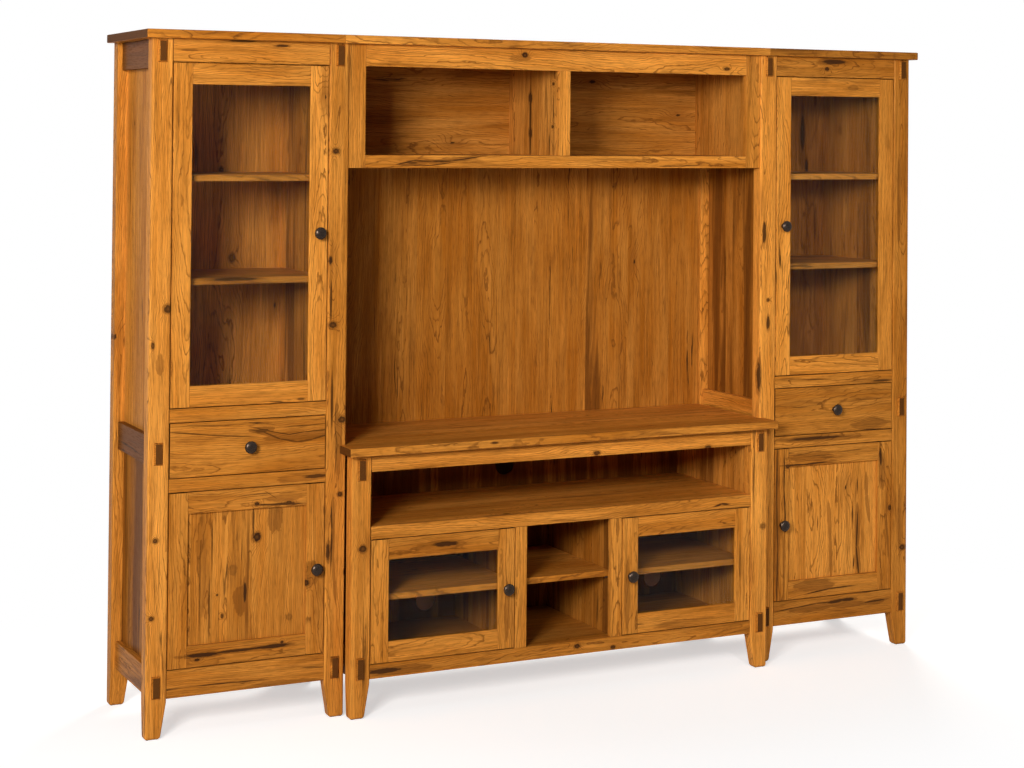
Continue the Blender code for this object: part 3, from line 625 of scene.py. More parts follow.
def clear_glass(name):
    """Clear glass, which the lamps shine through."""
    glass = bpy.context.scene.wall_unit_glass
    material, net, shader = surface(name)
    shader.inputs["Base Color"].default_value = (*glass.tint, 1.0)
    shader.inputs["Roughness"].default_value = glass.roughness
    shader.inputs["Metallic"].default_value = 0.0
    shader.inputs["Transmission Weight"].default_value = 1.0
    shader.inputs["IOR"].default_value = 1.14
    see = net.add("ShaderNodeBsdfTransparent")
    see.inputs[0].default_value = (*(v * 0.94 for v in glass.tint), 1.0)
    rays = net.add("ShaderNodeLightPath").outputs
    lets_through = net.most(rays["Is Shadow Ray"], rays["Is Diffuse Ray"])
    show(material, net, net.mix_shaders(lets_through, shader.outputs[0], see.outputs[0]))
    return material


# Boards


AXES = {"x": 0, "y": 1, "z": 2}


def box_shape(limits, ease=0.0, sharp=()):
    """A box between its limits with rounded edges, except round faces that look along a sharp direction."""
    shape = bmesh.new()
    bmesh.ops.create_cube(shape, size=1.0)
    size = [high - low for low, high in limits]
    middle = [(low + high) / 2 for low, high in limits]
    bmesh.ops.scale(shape, vec=size, verts=shape.verts)
    bmesh.ops.translate(shape, vec=middle, verts=shape.verts)
    shape.normal_update()
    if ease:
        rounded = []
        for edge in shape.edges:
            looks = [face.normal for face in edge.link_faces]
            if not any(look.dot(Vector(way)) > 0.9 for look in looks for way in sharp):
                rounded.append(edge)
        bmesh.ops.bevel(shape, geom=rounded, offset=ease, segments=2, profile=0.5, affect="EDGES")
    return shape


# Tone, warmth and share of heartwood of single boards, by piece and by the board's number in it
TONES = {
    "left_tower_outer_front_post_turned": {1: (0.82, 0.3, 0.05)},
    "left_tower_inner_front_post_turned": {1: (0.55, 0.5, 0.30)},
    # The lower panel's boards 8 to 10 have dark tones as painted shade, darker than the upper panel's
    "left_tower_outer_side_boards": {
        1: (0.65, 0.4, 0.10), 2: (0.25, 0.5, 0.45), 3: (0.00, 0.5, 0.85), 4: (0.08, 0.5, 0.75),
        8: (0.02, 0.6, 0.45), 9: (0.00, 0.6, 0.55), 10: (0.06, 0.6, 0.45), 11: (0.75, 0.4, 0.05),
        12: (0.50, 0.4, 0.10), 13: (0.70, 0.4, 0.05),
    },
    "left_tower_top_board_boards": {5: (0.62, 0.5, 0.25)},
    "left_tower_back_panel_boards": {
        1: (0.80, 0.1, 0.10), 2: (0.95, 0.1, 0.05), 3: (0.75, 0.2, 0.15), 4: (0.60, 0.4, 0.15),
    },
    "left_tower_display_deck_boards": {6: (0.55, 0.5, 0.10)},
    "left_tower_drawer_deck_boards": {6: (0.48, 0.6, 0.20)},
    "left_tower_bottom_deck_boards": {6: (0.45, 0.5, 0.25)},
    "left_tower_glass_door_frame_boards": {
        1: (0.66, 0.5, 0.10), 2: (0.92, 0.3, 0.00), 3: (0.62, 0.4, 0.10), 4: (0.78, 0.4, 0.00),
    },
    "left_tower_drawer_boards": {1: (0.44, 0.7, 0.20)},
    "left_tower_panel_door_frame_boards": {
        1: (0.42, 0.6, 0.10), 2: (0.52, 0.5, 0.10), 3: (0.50, 0.4, 0.25), 4: (0.34, 0.6, 0.35),
    },
    "left_tower_panel_door_panel_boards": {
        1: (0.75, 0.3, 0.00), 2: (0.42, 0.5, 0.35), 3: (0.58, 0.5, 0.10), 4: (0.40, 0.6, 0.25),
        5: (0.62, 0.4, 0.00), 6: (0.50, 0.4, 0.10),
    },
    # The back's boards 18 to 20 have low tones, partly as painted shade
    "bridge_case_boards": {
        1: (0.62, 0.4, 0.10), 2: (0.55, 0.5, 0.10), 3: (0.60, 0.5, 0.20), 4: (0.85, 0.5, 0.10),
        5: (0.85, 0.4, 0.05), 9: (0.50, 0.1, 0.10), 10: (0.60, 0.0, 0.05), 11: (0.45, 0.1, 0.15),
        12: (0.60, 0.0, 0.10), 13: (0.50, 0.1, 0.15), 14: (0.65, 0.0, 0.05), 18: (0.30, 0.0, 0.20),
        19: (0.24, 0.0, 0.25), 20: (0.30, 0.0, 0.20),
    },
    "right_tower_top_board_boards": {1: (0.20, 0.6, 0.35), 5: (0.36, 0.5, 0.25)},
    "right_tower_outer_front_post_turned": {1: (0.42, 0.6, 0.20)},
    "right_tower_inner_front_post_turned": {1: (0.95, 0.4, 0.05)},
    # The panels facing the niche have dark tones, partly as painted shade
    "right_tower_inner_side_boards": {
        7: (0.05, 0.5, 0.60), 8: (0.18, 0.5, 0.45), 9: (0.10, 0.5, 0.55), 10: (0.05, 0.5, 0.60),
        11: (0.20, 0.5, 0.45), 12: (0.12, 0.5, 0.55),
    },
    # The right tower's display linings and back panel have low tones, partly as painted shade of its bays
    "right_tower_outer_side_boards": {
        18: (0.34, 0.5, 0.30), 19: (0.22, 0.5, 0.45), 20: (0.34, 0.5, 0.30), 21: (0.42, 0.5, 0.25),
    },
    "right_tower_back_panel_boards": {
        1: (0.26, 0.5, 0.35), 2: (0.14, 0.5, 0.50), 3: (0.22, 0.5, 0.40), 4: (0.30, 0.5, 0.35),
    },
    "right_tower_display_deck_boards": {6: (0.55, 0.5, 0.20)},
    "right_tower_drawer_deck_boards": {6: (0.45, 0.6, 0.30)},
    "right_tower_bottom_deck_boards": {6: (0.30, 0.6, 0.35)},
    "right_tower_glass_door_frame_boards": {
        1: (0.85, 0.5, 0.00), 2: (0.70, 0.5, 0.05), 3: (0.75, 0.5, 0.05), 4: (0.80, 0.5, 0.00),
    },
    "right_tower_drawer_boards": {1: (0.30, 0.6, 0.20)},
    "right_tower_panel_door_frame_boards": {
        1: (0.42, 0.7, 0.20), 2: (0.50, 0.5, 0.15), 3: (0.38, 0.6, 0.20), 4: (0.40, 0.6, 0.20),
    },
    "right_tower_panel_door_panel_boards": {
        1: (0.75, 0.4, 0.10), 2: (0.85, 0.4, 0.00), 3: (0.80, 0.4, 0.10), 4: (0.78, 0.4, 0.05),
    },
    "console_left_front_post_turned": {1: (0.70, 0.5, 0.05)},
    "console_right_front_post_turned": {1: (0.88, 0.4, 0.05)},
    "console_top_board_boards": {1: (0.45, 0.6, 0.10), 6: (0.68, 0.5, 0.10)},
    "console_left_partition_boards": {
        1: (0.30, 0.5, 0.3), 2: (0.20, 0.5, 0.4), 3: (0.25, 0.5, 0.4), 4: (0.70, 0.5, 0.05),
    },
    "console_right_partition_boards": {
        1: (0.25, 0.5, 0.4), 2: (0.15, 0.5, 0.4), 3: (0.20, 0.5, 0.4), 4: (0.66, 0.5, 0.05),
    },
    "console_media_shelf_boards": {6: (0.60, 0.5, 0.10)},
    "console_bottom_deck_boards": {6: (0.50, 0.5, 0.20)},
    "console_left_door_frame_boards": {
        1: (0.72, 0.5, 0.00), 2: (0.60, 0.5, 0.20), 3: (0.45, 0.6, 0.25), 4: (0.70, 0.5, 0.05),
    },
    "console_right_door_frame_boards": {
        1: (0.60, 0.5, 0.15), 2: (0.70, 0.5, 0.10), 3: (0.60, 0.5, 0.15), 4: (0.62, 0.6, 0.20),
    },
}

# Pieces that lie in shade on the real unit, whose boards are all made darker as painted shade
SHADE_DARKENED_PIECES = ("niche_back_panel_boards", "console_bottom_deck_boards", "console_left_side_boards")

# Widths of a panel's boards where the grain shows them, in equal parts
WIDTHS = {
    "left_tower_panel_door_panel_boards": (6, 21, 14, 23, 15, 39),
    "left_tower_back_panel_boards": (30, 34, 36, 22),
}

# Faces that the photograph shows marks on: the axis that each looks along, and its place on it
Plane = namedtuple("Plane", "axis level")
POST_FACE = Plane(1, TOWER_FRONT)
DOOR_FACE = Plane(1, TOWER_FRONT + FACE_RECESS)
PANEL_FACE = Plane(1, box_of("left_tower_panel_door_panel").y[0])
SHELF_EDGE = Plane(1, box_of("left_tower_lower_shelf").y[0])
BACK_FACE = Plane(1, BACK_Y - BACK_T)
BRIDGE_FACE = Plane(1, box_of("bridge_case").y[0])
CONSOLE_POST_FACE = Plane(1, CONSOLE_FRONT)
CONSOLE_FACE = Plane(1, CONSOLE_FRONT + FACE_RECESS)
CONSOLE_EDGE = Plane(1, box_of("console_top_board").y[0])
NICHE_LEFT = Plane(0, NICHE_POST.x[1])
NICHE_RIGHT = Plane(0, -NICHE_POST.x[1])
CELL_WALL = Plane(0, -CASE_WALL_T / 2)
RIGHT_INSIDE = Plane(0, 1.3175)

# Kinds of marks, how much larger each is drawn than it was read, for its ragged rim, and a knot's paler core
KNOT = "knot"
DARK = "dark"
HEART = "heart"
GROWTH = {KNOT: 1.25, DARK: 1.2, HEART: 1.1}
KNOT_CORE = 0.65
STROKE_OVERLAP = 1.35
MARK_DEPTH = 0.02

# Marks read off the photograph, in its pixels: a spot's centre and half size, and the points that a
# stroke passes, with its half thickness. Each has its strength and how ragged it is; a spot may be turned.
Spot = namedtuple("Spot", "kind x y wide high strength ragged turn", defaults=(0.9, 0.9, 0.0))
Stroke = namedtuple("Stroke", "kind points high strength ragged")
MARKS = {
    "left_tower_outer_front_post": (
        (POST_FACE, (
            Spot(KNOT, 168, 309, 3.6, 3.6), Spot(KNOT, 153, 346, 1.4, 3.0), Spot(KNOT, 155, 541, 2.2, 2.0),
            Spot(KNOT, 151, 619, 2.2, 2.0), Spot(HEART, 160, 365, 5.0, 12.0, 0.5),
        )),
    ),
    "left_tower_inner_front_post": (
        (POST_FACE, (
            Spot(KNOT, 336, 151, 2.6, 2.2), Spot(KNOT, 333, 325, 3.2, 3.0),
            Spot(DARK, 331, 300, 0.9, 20, 0.8, 1.2), Spot(KNOT, 342, 419.5, 3.2, 2.8),
            Spot(DARK, 332, 400, 1.0, 26, 0.8, 1.2), Spot(HEART, 338, 440, 4.0, 40, 0.55, 1.2),
            Spot(KNOT, 340, 494, 2.2, 2.0),
            Stroke(DARK, ((336, 405), (335, 425), (337, 445), (335, 470)), 0.6, 0.7, 0.8),
            Stroke(DARK, ((331.5, 508), (332, 530), (331, 562)), 0.9, 0.9, 0.8),
            Stroke(HEART, ((333, 500), (333, 560), (335, 600)), 2.0, 0.8, 0.8),
            Spot(DARK, 328, 552, 1.6, 8, 0.9, 1.2), Spot(KNOT, 345, 572, 1.6, 2.4),
        )),
    ),
    "left_tower_top_board": (
        (DOOR_FACE, (
            Spot(DARK, 243, 41, 13, 1.1, 0.8, 1.0), Spot(DARK, 282.5, 46, 6, 1.1, 0.9, 1.0),
            Spot(DARK, 190, 50, 8, 1.0, 0.5, 1.0),
        )),
    ),
    "left_tower_lower_shelf": (
        (SHELF_EDGE, (
            Spot(DARK, 236, 279, 21, 1.5, 0.85, 1.0),
        )),
    ),
    "left_tower_back_panel": (
        (BACK_FACE, (
            Spot(KNOT, 221, 170, 2.0, 3.0, 0.8), Spot(HEART, 299, 210, 3.0, 16, 0.7),
            Spot(KNOT, 232, 258, 3.0, 4.0, 0.6),
        )),
    ),
    "left_tower_glass_door_frame": (
        (DOOR_FACE, (
            Spot(KNOT, 289, 403.5, 2.0, 1.0, 0.8), Spot(DARK, 301, 399, 3.0, 1.0, 0.6),
        )),
    ),
    "left_tower_display_deck": (
        (DOOR_FACE, (
            Spot(HEART, 320, 405, 10, 4, 0.35),
        )),
    ),
    "left_tower_drawer": (
        (DOOR_FACE, (
            Spot(HEART, 296, 436, 34, 5.5, 0.75, 1.1, 2), Spot(HEART, 262, 430, 14, 3.5, 0.7, 1.1),
            Stroke(DARK, ((173, 432.8), (210, 435.2), (248, 436.6)), 0.7, 0.6, 0.7),
            Stroke(HEART, ((256, 431.5), (284, 436), (327, 433)), 3.2, 0.75, 0.7),
            Stroke(DARK, (
                (253, 430.6), (264, 432), (281, 439), (297, 441.6), (312, 439.5), (327, 434.7),
            ), 1.0, 0.66, 0.9),
            Stroke(DARK, (
                (256, 427.8), (275.6, 432.2), (289.4, 434.4), (303.3, 432.2), (327, 429.4),
            ), 0.7, 0.75, 0.7),
            Spot(DARK, 262, 430.5, 6, 1.6, 0.7, 1.2), Spot(HEART, 305, 463, 20, 4, 0.45, 1.1),
            Spot(HEART, 192, 440, 18, 5, 0.35, 1.1),
        )),
    ),
    "left_tower_drawer_deck": (
        (DOOR_FACE, (
            Spot(DARK, 316, 476, 11, 1.7, 0.8, 1.2), Spot(HEART, 300, 478, 26, 4, 0.5, 1.2),
        )),
    ),
    "left_tower_panel_door_frame": (
        (DOOR_FACE, (
            Stroke(DARK, ((258, 505), (280, 504.4), (300, 503.4)), 0.8, 0.85, 0.8),
            Stroke(DARK, ((236, 497), (252, 494.5), (268, 493), (276, 498)), 0.45, 0.55, 0.7),
            Spot(KNOT, 257, 504, 2.0, 1.6, 1.0), Spot(DARK, 284, 503.6, 11, 0.9, 0.85, 1.1),
            Spot(KNOT, 289, 502, 2.6, 1.2, 0.9), Spot(HEART, 285, 497, 22, 5, 0.5, 1.2),
            Spot(KNOT, 306, 583, 2.4, 2.6, 1.0), Spot(HEART, 312, 574, 7, 14, 0.6, 1.2),
            Spot(DARK, 202, 655, 16, 2.0, 0.95, 1.2), Spot(DARK, 240, 650, 26, 1.2, 0.9, 1.2),
            Spot(DARK, 272, 646, 16, 1.8, 0.95, 1.2), Spot(KNOT, 197, 660, 2.0, 1.2, 1.0),
            Spot(KNOT, 282, 642, 1.4, 1.2, 1.0),
        )),
    ),
    "left_tower_panel_door_panel": (
        (PANEL_FACE, (
            Spot(DARK, 245, 592, 1.5, 9.5, 0.95, 0.7), Spot(HEART, 240, 600, 8, 16, 0.6, 0.9),
            Spot(KNOT, 233, 570, 4.0, 5.0, 0.35, 0.9), Spot(KNOT, 257, 537, 3.2, 4.0, 1.0, 0.9),
            Spot(DARK, 253.5, 520, 0.8, 16, 0.7, 0.9), Spot(HEART, 275, 518, 8, 16, 0.85, 1.2),
            Spot(HEART, 203, 560, 7, 60, 0.45, 1.2), Spot(DARK, 200, 590, 0.8, 36, 0.55, 1.5),
            Spot(DARK, 209, 610, 0.8, 30, 0.55, 1.5), Spot(DARK, 212, 545, 0.8, 22, 0.55, 1.5),
            Spot(KNOT, 217, 595, 0.9, 0.9, 0.9), Spot(KNOT, 222, 616, 1.0, 2.0, 0.9),
            Spot(KNOT, 289, 617, 3.0, 3.0, 0.35),
        )),
    ),
    "left_tower_bottom_deck": (
        (DOOR_FACE, (
            Spot(HEART, 280, 684, 44, 4, 0.7, 1.1), Spot(DARK, 300, 686, 20, 0.9, 0.6, 1.2),
            Spot(DARK, 215, 684, 14, 0.8, 0.5, 1.2),
        )),
    ),
    "bridge_case": (
        (BRIDGE_FACE, (
            Spot(KNOT, 525, 55, 2.6, 2.4, 1.0), Spot(KNOT, 727, 69, 2.6, 1.3, 0.9),
            Spot(HEART, 520, 58, 12, 4, 0.5),
            Stroke(HEART, ((401, 164), (428, 162.5), (452, 160.5), (476, 157.5)), 2.6, 0.9, 0.7),
            Stroke(DARK, ((399, 164), (414, 160.6), (432, 161.2), (452, 161.0), (478, 157)), 0.75, 0.9, 0.8),
            Stroke(DARK, ((401, 165.2), (429, 165.4), (450, 162.8)), 0.55, 0.8, 0.8),
            Spot(DARK, 412, 163, 5, 0.9, 0.7, 1.0), Spot(HEART, 505, 166, 20, 2.2, 0.35, 1.2),
        )),
        (CELL_WALL, (
            Spot(DARK, 530.4, 121, 0.8, 34, 0.85, 0.8), Spot(DARK, 530.4, 98, 1.6, 5, 0.9, 0.9),
            Spot(DARK, 530.4, 133, 1.4, 5, 0.9, 0.9), Spot(HEART, 546, 100, 1.2, 20, 0.6, 0.8),
            Spot(KNOT, 553.5, 84, 1.0, 1.3, 0.8, 0.2), Spot(KNOT, 552.6, 126.6, 1.0, 1.3, 0.8, 0.2),
        )),
    ),
    "right_tower_top_board": (
        (DOOR_FACE, (
            Spot(DARK, 834, 62, 11, 2.2, 0.9, 1.2), Spot(KNOT, 827, 69, 1.8, 1.6, 1.0),
            Spot(HEART, 836, 63, 20, 5, 0.5),
        )),
    ),
    "right_tower_glass_door_frame": (
        (DOOR_FACE, (
            Spot(KNOT, 853, 88, 5, 2.4, 0.35), Spot(HEART, 854, 89, 12, 3, 0.4),
        )),
    ),
    "right_tower_back_panel": (
        (BACK_FACE, (
            Spot(DARK, 802.6, 133, 2.0, 17, 0.9, 0.6), Spot(DARK, 806.3, 166, 1.3, 7, 0.9, 0.8),
            Spot(HEART, 802, 140, 4.5, 30, 0.55, 0.8), Spot(HEART, 815, 225, 2, 22, 0.5, 0.8),
            Spot(DARK, 814.5, 226, 0.6, 14, 0.5, 0.8),
        )),
    ),
    "right_tower_outer_side": (
        (RIGHT_INSIDE, (
            Spot(DARK, 840.6, 128, 0.6, 11, 0.9, 0.6), Spot(KNOT, 844.5, 130, 1.6, 4.2, 0.9, 0.9),
            Spot(HEART, 845, 132, 4.5, 17, 0.7, 0.8), Spot(HEART, 866, 135, 1.2, 40, 0.7, 0.5),
            Spot(DARK, 866, 120, 0.5, 18, 0.7, 0.5), Spot(HEART, 832, 150, 1.5, 20, 0.8, 0.6),
            Spot(KNOT, 848, 172, 0.9, 2.0, 0.8, 0.6), Spot(KNOT, 868, 163, 1.2, 1.6, 0.5, 0.6),
            Spot(HEART, 846, 250, 1.2, 16, 0.5, 0.8), Spot(KNOT, 859, 248, 0.7, 2.0, 0.8, 0.6),
        )),
    ),
    "right_tower_display_deck": (
        (DOOR_FACE, (
            Spot(DARK, 881, 380.5, 8, 0.9, 0.8), Spot(HEART, 870, 381, 22, 3, 0.5),
        )),
    ),
    "right_tower_drawer": (
        (DOOR_FACE, (
            Spot(HEART, 870, 424, 20, 7, 0.5), Spot(HEART, 800, 405, 24, 4, 0.4),
            Spot(DARK, 872, 399, 12, 0.7, 0.4),
        )),
    ),
    "right_tower_drawer_deck": (
        (DOOR_FACE, (
            Spot(DARK, 816, 438, 26, 1.5, 0.9, 1.2), Spot(HEART, 820, 438, 40, 4, 0.6),
        )),
    ),
    "right_tower_panel_door_frame": (
        (DOOR_FACE, (
            Spot(HEART, 777.5, 525, 2.6, 80, 0.9, 0.6),
            Stroke(DARK, ((777.4, 450), (776.8, 500), (777.6, 550), (776.6, 599)), 0.8, 0.9, 0.7),
            Stroke(DARK, ((784.4, 458), (784.0, 490), (785.4, 520)), 0.8, 0.9, 0.7),
            Stroke(HEART, ((784.5, 520), (783.5, 598)), 1.6, 0.7, 0.8),
            Stroke(DARK, ((786, 465.5), (804, 464.4), (825, 462)), 0.9, 0.9, 0.8),
            Spot(KNOT, 788, 466.5, 1.8, 1.6, 0.9, 0.9), Spot(HEART, 812, 457, 24, 5, 0.65),
            Stroke(DARK, ((795, 456), (815, 451.5), (838, 452), (862, 449)), 0.45, 0.6, 0.8),
            Stroke(DARK, ((880.3, 448), (880.8, 464)), 1.5, 0.95, 0.8),
            Spot(HEART, 882, 470, 3.5, 20, 0.6, 0.9),
            Stroke(HEART, ((888, 480), (886, 520), (889, 560)), 1.6, 0.6, 0.8),
            Spot(KNOT, 889.7, 507.5, 1.4, 2.2, 0.9), Spot(HEART, 815, 585, 22, 7, 0.6),
            Stroke(DARK, ((808, 593.7), (829.7, 588.6), (849, 586)), 0.7, 0.9, 0.8),
        )),
    ),
    "right_tower_panel_door_panel": (
        (PANEL_FACE, (
            Stroke(HEART, ((828.5, 503), (830, 540), (831, 576)), 2.6, 0.75, 0.6),
            Stroke(HEART, ((866, 474), (866.5, 495), (869, 520)), 2.6, 0.75, 0.6),
            Stroke(HEART, ((857.5, 505), (857, 545), (858.6, 574)), 3.6, 0.9, 0.6),
            Stroke(DARK, ((857.6, 514), (856.2, 546), (858.6, 573)), 1.1, 0.9, 0.7),
            Stroke(DARK, ((857.4, 480), (857.2, 490)), 0.7, 0.9, 0.6),
            Stroke(DARK, ((852.4, 507), (852.6, 522)), 0.7, 0.9, 0.6),
            Stroke(DARK, ((854.0, 558), (853.6, 566)), 0.7, 0.9, 0.6),
            Stroke(DARK, ((817.8, 519), (817.4, 527)), 0.5, 0.8, 0.6),
            Stroke(DARK, ((838.5, 480), (838.8, 540)), 0.4, 0.5, 0.8),
        )),
    ),
    "right_tower_bottom_deck": (
        (DOOR_FACE, (
            Stroke(DARK, ((775, 612), (796, 607.6), (816, 603.4), (831, 602)), 0.7, 0.75, 0.7),
            Stroke(DARK, ((829, 602.6), (842, 600), (853, 599)), 1.7, 0.9, 0.8),
            Stroke(DARK, ((866, 602.4), (883, 599.6)), 1.1, 0.85, 0.9),
            Stroke(HEART, ((790, 611), (830, 606), (868, 603), (884, 600)), 3.4, 0.7, 0.8),
        )),
    ),
    "right_tower_outer_front_post": (
        (POST_FACE, (
            Spot(KNOT, 902, 547, 2.4, 2.4), Spot(HEART, 899, 200, 2.0, 50, 0.5, 1.2),
            Spot(HEART, 900, 520, 3.0, 40, 0.5, 1.2),
        )),
    ),
    "right_tower_inner_front_post": (
        (POST_FACE, (
            Spot(DARK, 764.5, 233, 1.7, 10, 0.9, 0.9), Spot(HEART, 765, 235, 4.0, 18, 0.6),
            Spot(DARK, 768, 323, 1.5, 6, 0.9, 0.9), Spot(DARK, 759.5, 377, 1.3, 13, 0.9, 1.1),
            Spot(KNOT, 768, 300, 1.4, 1.6, 0.8),
        )),
    ),
    "right_tower_inner_side": (
        (NICHE_RIGHT, (
            Spot(KNOT, 747, 228, 2.0, 5.0), Spot(KNOT, 744, 314, 2.0, 4.0),
            Spot(DARK, 738.5, 251, 0.8, 3.0), Spot(HEART, 742, 300, 4.0, 60, 0.5, 1.2),
        )),
    ),
    "console_left_front_post": (
        (CONSOLE_POST_FACE, (
            Spot(KNOT, 363, 549, 3.4, 3.0),
        )),
    ),
    "left_tower_inner_side": (
        (NICHE_LEFT, (
            Spot(KNOT, 349, 573, 1.2, 2.0),
        )),
    ),
    "console_top_board": (
        (CONSOLE_EDGE, (
            Spot(DARK, 495, 443, 3.0, 0.9, 0.8),
        )),
        (CONSOLE_FACE, (
            Spot(KNOT, 597, 453, 2.6, 1.8), Spot(KNOT, 708, 447.5, 2.6, 1.8),
        )),
        (CONSOLE_EDGE, (
            Spot(HEART, 620, 436, 60, 3, 0.4),
        )),
    ),
    "console_media_shelf": (
        (CONSOLE_FACE, (
            Stroke(DARK, ((715.4, 506.2), (721.6, 504.0), (727.8, 504.3)), 0.9, 0.95, 0.5),
            Spot(HEART, 640, 512, 50, 3, 0.4),
        )),
    ),
    "console_left_door_frame": (
        (CONSOLE_FACE, (
            Spot(DARK, 446, 544, 11, 2.2, 0.9, 1.2), Spot(HEART, 440, 545, 30, 5, 0.6),
            Spot(HEART, 507, 612, 3.0, 30, 0.7),
        )),
    ),
    "console_bottom_deck": (
        (CONSOLE_FACE, (
            Spot(DARK, 384, 671, 15, 2.4, 0.9, 1.3), Spot(KNOT, 577, 646, 2.4, 2.0),
            Spot(KNOT, 613, 647, 2.0, 1.6), Spot(HEART, 400, 670, 34, 5, 0.5),
        )),
    ),
    "console_right_front_post": (
        (CONSOLE_POST_FACE, (
            Spot(KNOT, 763, 526, 2.2, 2.4, 0.5),
        )),
    ),
    "console_right_door_frame": (
        (CONSOLE_FACE, (
            Spot(HEART, 627, 595, 3.0, 40, 0.5), Spot(HEART, 690, 623, 40, 5, 0.55),
            Spot(DARK, 740, 560, 0.9, 18, 0.5),
        )),
    ),
}


def turn_about(axis, degrees):
    """A rotation about the x or the z axis in double precision."""
    cos = math.cos(math.radians(degrees))
    sin = math.sin(math.radians(degrees))
    if axis == "x":
        return np.array(((1, 0, 0), (0, cos, -sin), (0, sin, cos)))
    return np.array(((cos, -sin, 0), (sin, cos, 0), (0, 0, 1)))


def place_on(plane, x, y):
    """Where the photograph's camera sees a pixel on a plane."""
    across = ((x - PHOTO_W / 2) / PHOTO_W + SHIFT_X) * SENSOR_W / LENS
    up = ((PHOTO_H / 2 - y) / PHOTO_W + SHIFT_Y) * SENSOR_W / LENS
    ray = turn_about("z", YAW) @ turn_about("x", PITCH) @ turn_about("z", ROLL) @ np.array((across, up, -1.0))
    start = np.array(CAMERA_PLACE)
    return start + (plane.level - start[plane.axis]) / ray[plane.axis] * ray


def pixel_size(plane, x, y):
    """Width and height of a pixel of the photograph on a plane."""
    here = place_on(plane, x, y)
    wide = place_on(plane, x + 1, y) - here
    high = place_on(plane, x, y + 1) - here
    return abs(wide[1 - plane.axis]), abs(high[2])


def spot_parts(plane, spot):
    """A spot's centre in pixels, its half width and height in metres, and its turn."""
    wide, high = pixel_size(plane, spot.x, spot.y)
    growth = GROWTH[spot.kind]
    return [((spot.x, spot.y), spot.wide * wide * growth, spot.high * high * growth, spot.turn)]


def stroke_parts(plane, stroke):
    """The same of the overlapping marks that follow a stroke's points on a front."""
    parts = []
    for start, stop in zip(stroke.points, stroke.points[1:]):
        run = place_on(plane, *stop) - place_on(plane, *start)
        middle = ((start[0] + stop[0]) / 2, (start[1] + stop[1]) / 2)
        half_wide = math.hypot(run[0], run[2]) / 2 * STROKE_OVERLAP
        half_high = stroke.high * pixel_size(plane, *middle)[1]
        parts.append((middle, half_wide, half_high, math.degrees(math.atan2(run[2], run[0]))))
    return parts


def on_plane(plane, through, along, up, digits):
    """Rounded x, y and z values, one of them through the plane."""
    values = (through, along, up) if plane.axis == 0 else (along, through, up)
    return tuple(round(float(value), digits) for value in values)


def marks_of(node):
    """A node's marks: kind, centre and half size in metres, turn in degrees, raggedness and strength."""
    made = []
    for plane, read in MARKS[node]:
        for item in read:
            parts = spot_parts(plane, item) if isinstance(item, Spot) else stroke_parts(plane, item)
            for middle, half_wide, half_high, turn in parts:
                place = place_on(plane, *middle)
                centre = on_plane(plane, plane.level, place[1 - plane.axis], place[2], 3)
                half = on_plane(plane, MARK_DEPTH, half_wide, half_high, 4)
                made.append((item.kind, centre, half, round(turn, 4), item.ragged, item.strength))
    return made


